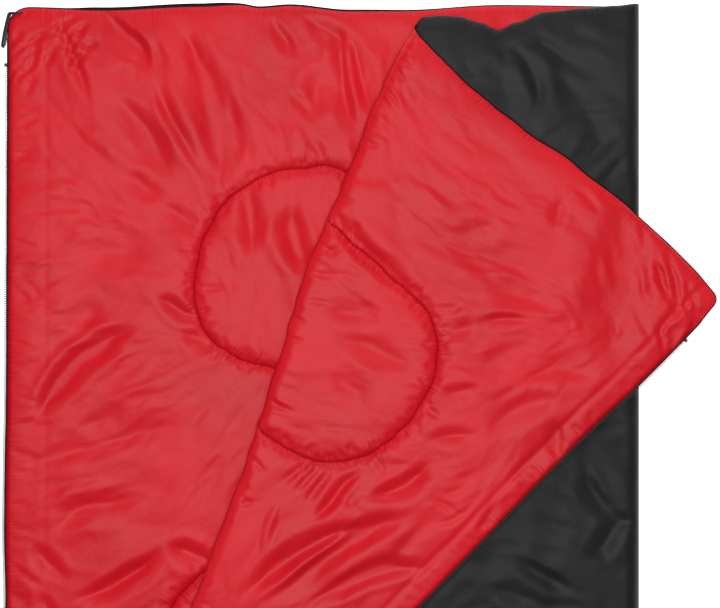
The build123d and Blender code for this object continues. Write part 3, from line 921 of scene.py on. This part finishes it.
# How far the front panel's head edge is drawn in, at places across from the crease: the flap is
# on the negative side, and the notch beside the crease on the positive one.
GATHER_PLACES = [
    -0.49, -0.41, -0.34, -0.26, -0.183, -0.14, -0.10, -0.05, -0.02, 0,
    0.004, 0.010, 0.028, 0.045, 0.069, 0.090, 0.111, 0.145, 0.193, 0.228, 0.258,
]
GATHER_MM = [
    0, 1, -1, -9, -22, -27, -30, -29, -28, -25,
    -20, -13, -11, -12, -19, -28, -19, -6, -2, 1, 4,
]


def front_warp(x, y):
    """Draws the front panel's head edge in, most of all at the end of the crease."""
    across = to_crease(x, y)
    pull = through(GATHER_PLACES, GATHER_MM, across / crease_inwards[0]) * MM
    reach = 0.12 + 0.09 * ease(-across / 0.06)
    pull *= ease(1 - (HEAD - y) / reach)
    lean = crease_along[0] / crease_along[1] * np.exp(-((across / 0.045) ** 2))
    return x + pull * lean, y + pull


def flap_warp(x, y):
    """The wave of the flap's zip edge, as it lies folded back; x and y are flat."""
    on_flap = ease((-to_crease(x, y) - 0.02) / 0.06)
    zip_wave = through([0, 0.11, 0.25, 0.5, 0.8, 1.3], [0, 0, 4, 3, 0, 0], HEAD - y)
    from_tip = np.hypot(x - LEFT, HEAD - y) / 0.05
    tip_pull = 3 * MM * ease(1 - from_tip)
    return x + zip_wave * MM * ease(1 - (x - LEFT) / 0.12) * on_flap + tip_pull, y - tip_pull


# ---- laying the panels down -----------------------------------------------------------
CREASE_PLACES = [0, 0.04, 0.13, 0.22, 0.33, 0.44, 0.52, 0.60, 0.68, 0.78, 1.0, 1.3]
CREASE_BULGES = [-1, 6, 10, 7, 11, 1, -6, -12, -13, -16, -14, -8]
ROLL_EASE = 30 * MM
LINING_GAP = 1.9 * MM
SHELL_GAP = 0.5 * MM


def crease_bulge(x, y):
    """How far the folded cloth stands out past the crease's axis."""
    down = along_crease(x, y)
    uneven = 2.6 * noise(down, 0 * down, 0.034, 151) + 1.3 * noise(down, 0 * down, 0.013, 152)
    return (through(CREASE_PLACES, CREASE_BULGES, down) + uneven * ease(down / 0.05)) * MM


def fold_front(x, y, rise, warp_x, warp_y):
    """Lays a face of the front panel down with its corner folded back.

    rise is the height from the middle layer, positive for the shell, negative for the lining.
    """
    across = to_crease(warp_x, warp_y)
    radius = CREASE_HEIGHT - FRONT_MIDDLE - rise
    bulge = crease_bulge(x, y)
    bulge = np.where(rise > 4 * MM, np.minimum(bulge, 0), bulge)
    extra = (math.pi / 2 - 1) * radius + bulge
    length = np.abs(across) + extra * (1 - np.exp(-np.abs(across) / ROLL_EASE))
    turn = np.clip(length / np.maximum(radius, 1e-6), 0, math.pi / 2)
    from_axis = radius - bulge - radius * np.cos(turn) + np.maximum(
        length - radius * math.pi / 2, 0
    )
    gap = np.where(rise > 4 * MM, SHELL_GAP, LINING_GAP)
    height = np.maximum(radius * np.sin(turn), gap)
    side = np.where(across < 0, 1, -1)
    shift = from_axis - across
    new_x = warp_x + shift * crease_inwards[0]
    new_y = warp_y + shift * crease_inwards[1]
    return new_x, new_y, CREASE_HEIGHT + side * height


def side_fold_height(x, middle, rise, towards):
    """A face's height near the side fold, where all the cloth meets on the fold's axis.

    towards is the face's side of the middle layer: 1 above, -1 below.
    """
    flat = middle + towards * rise
    radius = np.abs(flat - SIDE_HEIGHT)
    reach = np.clip((x - (RIGHT - radius)) / np.maximum(radius, 1e-6), 0, 1)
    drop = np.sqrt(np.clip(1 - reach**2, 0, 1))
    return SIDE_HEIGHT + (flat - SIDE_HEIGHT) * drop


def side_fold_columns(columns):
    """Moves grid columns closer together where the shell turns round the side fold."""
    radius = SIDE_HEIGHT
    start = RIGHT - radius * math.pi / 2
    turn = np.clip((columns - start) / radius, 0, math.pi / 2)
    bent = RIGHT - radius + radius * np.sin(turn)
    shifted = LEFT + (columns - LEFT) * (RIGHT - radius - LEFT) / (start - LEFT)
    return np.where(columns < start, shifted, bent)


class Face:
    """One face of a panel: its grid in the flat panel and its height from the middle layer."""

    def __init__(self, x, y, rise):
        self.x, self.y, self.rise = x, y, rise

    def at(self, x, y, rise=None):
        """The face's height at any places, between its grid points."""
        rise = self.rise if rise is None else rise
        columns, rows = self.x[0], self.y[:, 0]
        i = np.clip(np.searchsorted(columns, x) - 1, 0, len(columns) - 2)
        j = np.clip(np.searchsorted(rows, y) - 1, 0, len(rows) - 2)
        tx = np.clip((x - columns[i]) / (columns[i + 1] - columns[i]), 0, 1)
        ty = np.clip((y - rows[j]) / (rows[j + 1] - rows[j]), 0, 1)
        low = rise[j, i] * (1 - tx) + rise[j, i + 1] * tx
        high = rise[j + 1, i] * (1 - tx) + rise[j + 1, i + 1] * tx
        return low * (1 - ty) + high * ty

    def least_near(self, x, y, cells):
        """The face's least height within so many grid cells of each place."""
        least = self.rise
        for axis in (0, 1):
            padded = np.concatenate([np.take(least, [0] * cells, axis), least], axis)
            padded = np.concatenate([padded, np.take(least, [-1] * cells, axis)], axis)
            size = least.shape[axis]
            windows = [np.take(padded, range(k, k + size), axis) for k in range(2 * cells + 1)]
            least = np.minimum.reduce(windows)
        return self.at(x, y, least)


def lay_back(flat_x, flat_y, z):
    """Lays points of the flat back panel down."""
    warp_x, warp_y = back_warp(flat_x, flat_y)
    return warp_x, warp_y, z


def lining_back(face):
    """The back panel's red lining."""
    x, y, rise = face.x, face.y, face.rise
    flat_x, flat_y = corners_rounded(x, y)
    warp_x, warp_y = back_warp(flat_x, flat_y)
    z = side_fold_height(x, BACK_MIDDLE, rise, 1)
    seams = seams_near(x, y, ring_lines_back, rings_back)
    cloth = grid_object("lining_back_cloth", warp_x, warp_y, z, seams, RED)
    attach(cloth, "back_panel")
    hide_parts("lining_back")
    return cloth


def with_hem(x, y):
    """Adds grid lines for the shell's edge, which wraps out past the lining and back under."""
    columns, rows = x[0], y[:, 0]
    hem = np.array([2.5 * MM, -PIPING, -PIPING * 0.4, 3.5 * MM])
    columns = np.concatenate([LEFT + hem, columns[columns > LEFT + 5 * MM]])
    inner = rows[(rows > FOOT + 5 * MM) & (rows < HEAD - 5 * MM)]
    rows = np.concatenate([FOOT + hem, inner, HEAD - hem[::-1]])
    return np.meshgrid(columns, rows)


def hem_rise(rise):
    """The shell's height at its hem: tucked level with the seam's middle."""
    out = rise.copy()
    edges = np.full(rise.shape, 9)
    for index in range(3):
        edges[index, :] = np.minimum(edges[index, :], index)
        edges[-1 - index, :] = np.minimum(edges[-1 - index, :], index)
        edges[:, index] = np.minimum(edges[:, index], index)
    out = np.where(edges == 0, -0.5 * MM, out)
    out = np.where(edges == 1, -0.3 * MM, out)
    return np.where(edges == 2, 0.9 * MM, out)


def shell_back(face):
    """The back panel's black shell."""
    x, y = face.x, face.y
    rise = hem_rise(face.rise)
    flat_x, flat_y = corners_rounded(x, y)
    proud = through([-0.37, -0.31, -0.27, -0.13, -0.09, 0.05, 0.15], [0, 0.4, 2.6, 2.8, 0.8, 1, 0], x)
    flat_y = flat_y + proud * MM * (y > HEAD)
    warp_x, warp_y = back_warp(flat_x, flat_y)
    z = np.maximum(side_fold_height(x, BACK_MIDDLE, rise, -1), 0.2 * MM)
    seams = seams_near(x, y, ring_lines_back, rings_back)
    cloth = grid_object("shell_back_cloth", warp_x, warp_y, z, seams, BLACK, upwards=False)
    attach(cloth, "back_panel")
    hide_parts("shell_back")
    return cloth


def lay_front(flat_x, flat_y, signed):
    """Lays points of the flat front panel down, its corner folded back.

    signed is the height from the middle layer, positive towards the shell.
    """
    warp_x, warp_y = front_warp(flat_x, flat_y)
    warp_x, warp_y = flap_warp(warp_x, warp_y)
    return fold_front(flat_x, flat_y, signed, warp_x, warp_y)


def front_in_place(x, y, rise, towards):
    """Where a face of the front panel lies: x, y and z."""
    flat_x, flat_y = corners_rounded(x, y, TIP_CORNER)
    beside = to_crease(flat_x, flat_y) > 0
    at_fold = side_fold_height(x, FRONT_MIDDLE, rise, towards) - FRONT_MIDDLE
    return lay_front(flat_x, flat_y, np.where(beside, at_fold, towards * rise))


def blend_at_crease(cloth):
    """Bakes the cloth's placing into its mesh; it is not split at the crease or attached to the flap."""
    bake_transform(cloth)


def lining_front(face):
    """The front panel's red lining, one sheet that rolls over the crease onto the flap."""
    new_x, new_y, z = front_in_place(face.x, face.y, face.rise, -1)
    seams = seams_near(face.x, face.y, ring_lines_front, rings_front)
    cloth = grid_object("lining_front_cloth", new_x, new_y, z, seams, RED, upwards=False)
    blend_at_crease(cloth)
    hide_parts("lining_front", "lining_flap")
    return cloth


def shell_front(face):
    """The front panel's black shell, folded inside the crease."""
    new_x, new_y, z = front_in_place(face.x, face.y, hem_rise(face.rise), 1)
    seams = seams_near(face.x, face.y, ring_lines_front, rings_front)
    cloth = grid_object("shell_front_cloth", new_x, new_y, z, seams, BLACK)
    blend_at_crease(cloth)
    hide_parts("shell_front", "shell_flap")
    return cloth


# ---- batting --------------------------------------------------------------------------
BATTING_STEP = 15 * MM
BATTING_CLEAR = 1.2 * MM
BATTING_FROM_CREASE = 24 * MM


def everywhere(x, y):
    """Keeps every place of a panel."""
    return np.full(x.shape, True)


def pad_beside_flap(x, y):
    """Keeps the front panel's places clear of the crease's roll."""
    return to_crease(x, y) > BATTING_FROM_CREASE


def pad_on_flap(x, y):
    """Keeps the flap's places clear of the crease's roll."""
    return to_crease(x, y) < -BATTING_FROM_CREASE


def batting(name, body, node, lining, shell, middle, side, kept, turned=False):
    """A closed pad of filling between a panel's two faces.

    side is which way the shell lies from the middle layer, and kept says which part of the
    flat panel the pad fills.
    """
    margin = 7 * MM
    columns = spaced(LEFT + margin, RIGHT - 24 * MM, BATTING_STEP)
    rows = spaced(FOOT + margin, HEAD - margin, BATTING_STEP)
    x, y = np.meshgrid(columns, rows)
    up = np.maximum(lining.least_near(x, y, 5) - BATTING_CLEAR, 0.1 * MM)
    down = np.maximum(shell.least_near(x, y, 4) - BATTING_CLEAR, 0.1 * MM)
    flat_x, flat_y = corners_rounded(x, y)
    levels = []
    for signed in (side * down, -side * up):
        if middle is None:
            levels.append(np.stack(lay_front(flat_x, flat_y, signed), -1))
        else:
            levels.append(np.stack(lay_back(flat_x, flat_y, middle + signed), -1))
    inside = kept(x, y)
    cells = inside[:-1, :-1] & inside[:-1, 1:] & inside[1:, 1:] & inside[1:, :-1]
    index = np.arange(x.size).reshape(x.shape)
    used = {}
    vertices, faces = [], []

    def corner(level, j, i):
        key = (level, index[j, i])
        if key not in used:
            used[key] = len(vertices)
            vertices.append(levels[level][j, i])
        return used[key]

    around = ((0, 0), (0, 1), (1, 1), (1, 0))
    sides = ((-1, 0), (0, 1), (1, 0), (0, -1))
    for j, i in zip(*np.nonzero(cells)):
        square = [(j + dj, i + di) for dj, di in around]
        low = [corner(0, *place) for place in square]
        high = [corner(1, *place) for place in square]
        faces += [low[::-1], high]
        for k, (dj, di) in enumerate(sides):
            nj, ni = j + dj, i + di
            outside = not (0 <= nj < cells.shape[0] and 0 <= ni < cells.shape[1])
            if outside or not cells[nj, ni]:
                n = (k + 1) % 4
                faces.append([low[k], low[n], high[n], high[k]])
    if turned:
        faces = [face[::-1] for face in faces]
    pad = mesh_object(name, vertices, faces, BATTING)
    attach(pad, body)
    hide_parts(node)


# ---- stitches -------------------------------------------------------------------------
STITCH_PITCH = 3.4 * MM
STITCH_LENGTH = 2.7 * MM
STITCH_RADIUS = 0.55 * MM


def thread_along(line, face, pitch, keep):
    """Short stitches along a line of the flat panel, as flat places, heights and faces."""
    walked = distances_along(line)
    places = np.arange(pitch, walked[-1], pitch)
    centre = np.column_stack([np.interp(places, walked, line[:, k]) for k in (0, 1)])
    ahead = np.column_stack([np.interp(places + 1e-4, walked, line[:, k]) for k in (0, 1)])
    forward = ahead - centre
    forward /= np.hypot(forward[:, 0], forward[:, 1])[:, None] + 1e-12
    kept = keep(centre[:, 0], centre[:, 1])
    centre, forward = centre[kept], forward[kept]
    sideways = np.column_stack([-forward[:, 1], forward[:, 0]])
    along = np.array([-0.5, -0.3, 0, 0.3, 0.5]) * STITCH_LENGTH
    girth = np.array([0.35, 0.95, 1, 0.95, 0.35]) * STITCH_RADIUS
    lift = np.array([-0.5, 0.1, 0.35, 0.1, -0.5]) * MM
    turn = np.arange(6) * math.pi / 3
    x, y, up = [], [], []
    for step, thick, raised in zip(along, girth, lift):
        for angle in turn:
            place = centre + forward * step + sideways * thick * math.cos(angle)
            x.append(place[:, 0])
            y.append(place[:, 1])
            up.append(np.full(len(centre), raised + thick * math.sin(angle)))
    x, y, up = (np.stack(values, 1).ravel() for values in (x, y, up))
    middle = np.repeat(face.at(centre[:, 0], centre[:, 1]), 30)
    count = len(centre)
    faces = []
    for ring in range(4):
        for k in range(6):
            n = (k + 1) % 6
            faces.append([ring * 6 + k, ring * 6 + n, ring * 6 + 6 + n, ring * 6 + 6 + k])
    faces.append([5, 4, 3, 2, 1, 0])
    faces.append([24, 25, 26, 27, 28, 29])
    return x, y, middle + up, [[v + 30 * s for v in f] for s in range(count) for f in faces]


def join_threads(parts):
    """Several runs of stitches as one set."""
    x = np.concatenate([part[0] for part in parts])
    y = np.concatenate([part[1] for part in parts])
    rise = np.concatenate([part[2] for part in parts])
    faces, start = [], 0
    for part in parts:
        faces += [[v + start for v in face] for face in part[3]]
        start += len(part[0])
    return x, y, rise, faces


def clear_of_fold(x, y):
    """Away from the crease, where a stitch would be torn between two bodies."""
    return np.abs(to_crease(x, y)) > 9 * MM


def stitches_back(lining, shell):
    """The back panel's quilting thread on both faces."""
    runs = (
        ("stitches_back_lining", lining, 1, RED_THREAD_AND_GROOVE_SHADE),
        ("stitches_back_shell", shell, -1, BLACK_THREAD),
    )
    for name, face, side, material in runs:
        parts = [thread_along(r, face, STITCH_PITCH, everywhere) for r in ring_lines_back]
        x, y, rise, faces = join_threads(parts)
        place = lay_back(x, y, np.maximum(BACK_MIDDLE + side * rise, 0.05 * MM))
        thread = mesh_object(name, np.column_stack(place), faces, material)
        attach(thread, "back_panel")
        if side == 1:
            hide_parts("stitching_back")


def stitches_front(lining, shell):
    """The front panel's quilting thread on both faces, on the flap and beside it."""
    runs = (
        ("stitches_front_lining", lining, -1, RED_THREAD_AND_GROOVE_SHADE),
        ("stitches_front_shell", shell, 1, BLACK_THREAD),
    )
    for name, face, side, material in runs:
        parts = [thread_along(r, face, STITCH_PITCH, clear_of_fold) for r in ring_lines_front]
        x, y, rise, faces = join_threads(parts)
        place = lay_front(x, y, side * rise)
        thread = mesh_object(name, np.column_stack(place), faces, material)
        blend_at_crease(thread)
        if side == -1:
            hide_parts("stitching_front", "stitching_flap")


# ---- zip ------------------------------------------------------------------------------
TOOTH_PITCH = 2.1 * MM
TEETH_FROM_CREASE = 2.5 * MM
ZIP_TAPE_THICKNESS = 0.8 * MM


def zip_path(head_end, foot_end, out):
    """The line along the panel's edge from near its head, down and round its foot corner."""
    centre = (LEFT + FOOT_CORNER, FOOT + FOOT_CORNER)
    radius = FOOT_CORNER + out
    turn = np.linspace(math.pi, 1.5 * math.pi, 13)
    straight = np.linspace(head_end, FOOT + FOOT_CORNER, 200)[:-1]
    side = [(LEFT - out, place) for place in straight]
    corner = [(centre[0] + radius * math.cos(a), centre[1] + radius * math.sin(a)) for a in turn]
    foot = [(place, FOOT - out) for place in np.linspace(LEFT + FOOT_CORNER, foot_end, 60)[1:]]
    return np.array(side + corner + foot)


def ribbon(path, low, high, thickness, wave_seed):
    """A woven tape standing on its edge along a path: flat places, heights and faces.

    low, high and thickness are numbers, or have a value for each point of the path.
    """
    walked = distances_along(path)
    forward = np.gradient(path, axis=0)
    forward /= np.hypot(forward[:, 0], forward[:, 1])[:, None]
    outwards = np.column_stack([forward[:, 1], -forward[:, 0]])
    wave = 0.25 * MM * noise(walked, walked * 0, 0.03, wave_seed)
    edge = 0.3 * MM
    section = [(0.2, low), (0.8, low), (1, low + edge), (1, high - edge)]
    section += [(0.8, high), (0.2, high), (0, high - edge), (0, low + edge)]
    around = len(section)
    x, y, up = [], [], []
    for out, height in section:
        shift = outwards * (wave + out * thickness)[:, None]
        x.append(path[:, 0] + shift[:, 0])
        y.append(path[:, 1] + shift[:, 1])
        up.append(np.zeros(len(path)) + height)
    x, y, up = (np.stack(values, 1).ravel() for values in (x, y, up))
    faces = []
    for i in range(len(path) - 1):
        for k in range(around):
            here, beside = i * around + k, i * around + (k + 1) % around
            faces.append([here, beside, beside + around, here + around])
    last = (len(path) - 1) * around
    faces += [list(range(around))[::-1], list(range(last, last + around))]
    return x, y, up, faces


def coil_teeth(path, middle, towards, keep):
    """A zip's half coil: one small bent loop of nylon for each tooth."""
    walked = distances_along(path)
    places = np.arange(TOOTH_PITCH, walked[-1], TOOTH_PITCH)
    centre = np.column_stack([np.interp(places, walked, path[:, k]) for k in (0, 1)])
    ahead = np.column_stack([np.interp(places + 1e-4, walked, path[:, k]) for k in (0, 1)])
    forward = ahead - centre
    forward /= np.hypot(forward[:, 0], forward[:, 1])[:, None] + 1e-12
    kept = keep(centre[:, 0], centre[:, 1])
    centre, forward = centre[kept], forward[kept]
    outwards = np.column_stack([forward[:, 1], -forward[:, 0]])
    reach, half, thick = 2.6 * MM, 1.4 * MM, 0.38 * MM
    bend = [(0.1, -0.8), (0.75, -0.75), (1.0, 0.0), (0.75, 0.75), (0.1, 0.8)]
    x, y, up = [], [], []
    for out, height in bend:
        for angle in np.arange(5) * 2 * math.pi / 5:
            swell = 1.35 if out == 1.0 else 1.0
            step = thick * swell * math.cos(angle)
            lean = 0.3 * MM * height
            rise = towards * half * height + thick * swell * math.sin(angle) * 0.8
            place = centre + outwards * (out * (reach - thick)) + forward * (step + lean)
            x.append(place[:, 0])
            y.append(place[:, 1])
            up.append(np.full(len(centre), middle + rise))
    x, y, up = (np.stack(values, 1).ravel() for values in (x, y, up))
    faces = []
    for ring in range(4):
        for k in range(5):
            n = (k + 1) % 5
            faces.append([ring * 5 + k, ring * 5 + n, ring * 5 + 5 + n, ring * 5 + 5 + k])
    faces += [[4, 3, 2, 1, 0], [20, 21, 22, 23, 24]]
    return x, y, up, [[v + 25 * s for v in f] for s in range(len(centre)) for f in faces]


def teeth_beside(side):
    """Keeps the teeth on one side of the crease: 1 for the front panel, -1 for the flap."""

    def keep(x, y):
        return side * to_crease(x, y) > TEETH_FROM_CREASE

    return keep


def zip_tape(name, path, low, high, wave_seed, lay):
    """One woven tape, laid with its panel."""
    x, y, up, faces = ribbon(path, low, high, ZIP_TAPE_THICKNESS, wave_seed)
    tape = mesh_object(name, np.column_stack(lay(x, y, up)), faces, TAPE)
    tape.data.polygons.foreach_set("use_smooth", [False] * len(tape.data.polygons))
    return tape


def zips():
    """The zip's woven tapes and nylon coils on both panels."""
    tape_low, tape_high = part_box("zip_tape_back")
    coil_low, coil_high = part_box("zip_coil_back")
    tape_path = zip_path(tape_high.y, tape_high.x, 0.1 * MM)
    coil_path = zip_path(coil_high.y, coil_high.x, 0.9 * MM)
    tape = zip_tape("zip_tape_back_ribbon", tape_path, tape_low.z, tape_high.z, 201, lay_back)
    x, y, up, faces = coil_teeth(coil_path, (coil_low.z + coil_high.z) / 2, 1, everywhere)
    coil = mesh_object("zip_coil_back_teeth", np.column_stack(lay_back(x, y, up)), faces, COIL)
    for piece, node, slot in ((tape, "zip_tape_back", "zip_tape"), (coil, "zip_coil_back", "zip_coil")):
        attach(piece, "back_panel")
        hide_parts(node)
    front_low, front_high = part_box("zip_tape_front")
    low, high = front_low.z - FRONT_MIDDLE, front_high.z - FRONT_MIDDLE
    tape = zip_tape("zip_tape_front_ribbon", tape_path, low, high, 202, lay_front)
    blend_at_crease(tape)
    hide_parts("zip_tape_front", "zip_tape_flap")
    coil_low, coil_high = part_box("zip_coil_front")
    coil_middle = (coil_low.z + coil_high.z) / 2 - FRONT_MIDDLE
    runs = (
        ("zip_coil_front_teeth", "front_panel", "zip_coil_front", 1),
        ("zip_coil_flap_teeth", "flap", "zip_coil_flap", -1),
    )
    for name, body, node, side in runs:
        x, y, up, faces = coil_teeth(coil_path, coil_middle, -1, teeth_beside(side))
        coil = mesh_object(name, np.column_stack(lay_front(x, y, up)), faces, COIL)
        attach(coil, body)
        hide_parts(node)


STRAP_THICKNESS = 1.4 * MM
STRAP_ROUNDING = 3 * MM


def webbing(name, body, node, path, rounding):
    """A piece of ribbed webbing that stands on its edge along a path."""
    low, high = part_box(node)
    walked = distances_along(path)
    into_end = np.clip(1 - (walked[-1] - walked) / STRAP_ROUNDING, 0, 1)
    inset = rounding * (1 - np.sqrt(1 - 0.98 * into_end**2))
    ribs = STRAP_THICKNESS + 0.12 * MM * np.sin(walked * 2 * math.pi / (1.7 * MM))
    x, y, up, faces = ribbon(path, low.z + inset, high.z - inset, ribs, 203)
    strap = mesh_object(name, np.column_stack([x, y, up]), faces, WEBBING)
    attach(strap, body)
    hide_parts(node)


def closing_tab():
    """The closing tab: webbing that is sewn into the head corner and hangs down beside the zip."""
    hinge = np.array(joints["tab_swing"]["pos_m"])[:2]
    low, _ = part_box("closure_tab_strap")
    run = np.array([low.x + STRAP_THICKNESS, low.y]) - hinge
    outwards = np.array([run[1], -run[0]]) / np.hypot(*run)
    share = np.linspace(0, 1, 150)[:, None]
    hanging = hinge + share * run + outwards * 0.8 * MM * np.sin(share * math.pi)
    webbing("closing_tab_webbing", "closure_tab", "closure_tab_strap", hanging, STRAP_ROUNDING)
    _, root_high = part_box("closure_tab_root")
    sewn_end = np.array([root_high.x, root_high.y - 3 * MM])
    sewn = sewn_end + np.linspace(0, 1, 60)[:, None] * (hinge - sewn_end)
    webbing("closing_tab_sewn_end", "back_panel", "closure_tab_root", sewn, 0)


def carried_parts():
    """Gives the CAD parts that stay their finishes."""
    finishes = {
        "slider_body": METAL,
        "puller_tab": METAL,
        "zip_top_stop_back": METAL,
        "zip_top_stop_flap": METAL,
        "zip_bottom_stop": METAL,
        "closure_hook_patch": HOOK,
        "closure_loop_patch": LOOP,
    }
    for node, finish in finishes.items():
        mesh = frame["nodes"][node].data
        mesh.materials.clear()
        mesh.materials.append(finish)


# ---- stage, light and camera ----------------------------------------------------------
def camera_above():
    """Looks straight down on the head half of the bag."""
    data = bpy.data.cameras.new("camera")
    data.lens = 85
    data.sensor_width = 36
    view_width = 0.850
    aim = Vector((LEFT + 0.419, HEAD - 0.350, 0.03))
    camera = bpy.data.objects.new("camera", data)
    camera.location = aim + Vector((0, 0, view_width * data.lens / data.sensor_width))
    bpy.context.scene.collection.objects.link(camera)
    bpy.context.scene.camera = camera


def area_light(name, location, target, size, power, colour=(1, 1, 1)):
    """A soft square light aimed at a point."""
    data = bpy.data.lights.new(name, "AREA")
    data.size = size
    data.energy = power
    data.color = colour
    lamp = bpy.data.objects.new(name, data)
    lamp.location = location
    lamp.rotation_euler = (Vector(target) - Vector(location)).to_track_quat("-Z", "Y").to_euler()
    bpy.context.scene.collection.objects.link(lamp)


def studio():
    """A pale floor and soft lights."""
    corners = [(-60, -60, 0), (60, -60, 0), (60, 60, 0), (-60, 60, 0)]
    floor_material, _, _, shader = material_nodes("pale_floor", 0.9)
    shader.inputs["Base Color"].default_value = (0.92, 0.92, 0.92, 1)
    shader.inputs["Emission Color"].default_value = (1, 1, 1, 1)
    shader.inputs["Emission Strength"].default_value = 0.8
    floor = mesh_object("floor", corners, [(0, 1, 2, 3)], floor_material, smooth=False)
    floor.location.z = -0.5 * MM
    world = bpy.data.worlds.new("soft_white")
    world.use_nodes = True
    world.node_tree.nodes["Background"].inputs["Color"].default_value = (1, 1, 1, 1)
    world.node_tree.nodes["Background"].inputs["Strength"].default_value = 0.28
    bpy.context.scene.world = world
    centre = (0.05, 0.45, 0)
    area_light("overhead", (-0.15, 0.62, 2.9), centre, 1.3, 60)
    area_light("low_side", (0.3, 2.7, 1.3), centre, 0.8, 17)
    bpy.context.scene.view_settings.view_transform = "Standard"


def face_grid(across, fine, coarse, hem):
    """A face's grid in the flat panel, with lines for a hem if it has one."""
    x, y = panel_grid(across, fine, coarse)
    if hem:
        x, y = with_hem(x, y)
    return side_fold_columns(x), y


def make_bag():
    """Every piece of the bag."""
    x, y = face_grid(FINE, FINE, COARSE, hem=False)
    back_inner = Face(x, y, back_lining_rise(x, y))
    x, y = face_grid(6 * MM, 6 * MM, 9 * MM, hem=True)
    back_outer = Face(x, y, back_shell_rise(x, y))
    x, y = panel_grid(FINE, FINE, COARSE)
    front_inner = Face(x, y, front_lining_rise(x, y))
    x, y = face_grid(4.5 * MM, 4.5 * MM, COARSE, hem=True)
    front_outer = Face(x, y, front_shell_rise(x, y))
    lining_back(back_inner)
    shell_back(back_outer)
    lining_front(front_inner)
    shell_front(front_outer)
    batting("batting_back", "back_panel", "insulation_back", back_inner, back_outer,
            BACK_MIDDLE, -1, everywhere)
    batting("batting_front", "front_panel", "insulation_front", front_inner, front_outer,
            None, 1, pad_beside_flap, turned=True)
    batting("batting_flap", "flap", "insulation_flap", front_inner, front_outer,
            None, 1, pad_on_flap, turned=True)
    stitches_back(back_inner, back_outer)
    stitches_front(front_inner, front_outer)
    zips()
    closing_tab()
    carried_parts()


camera_above()
studio()
make_bag()
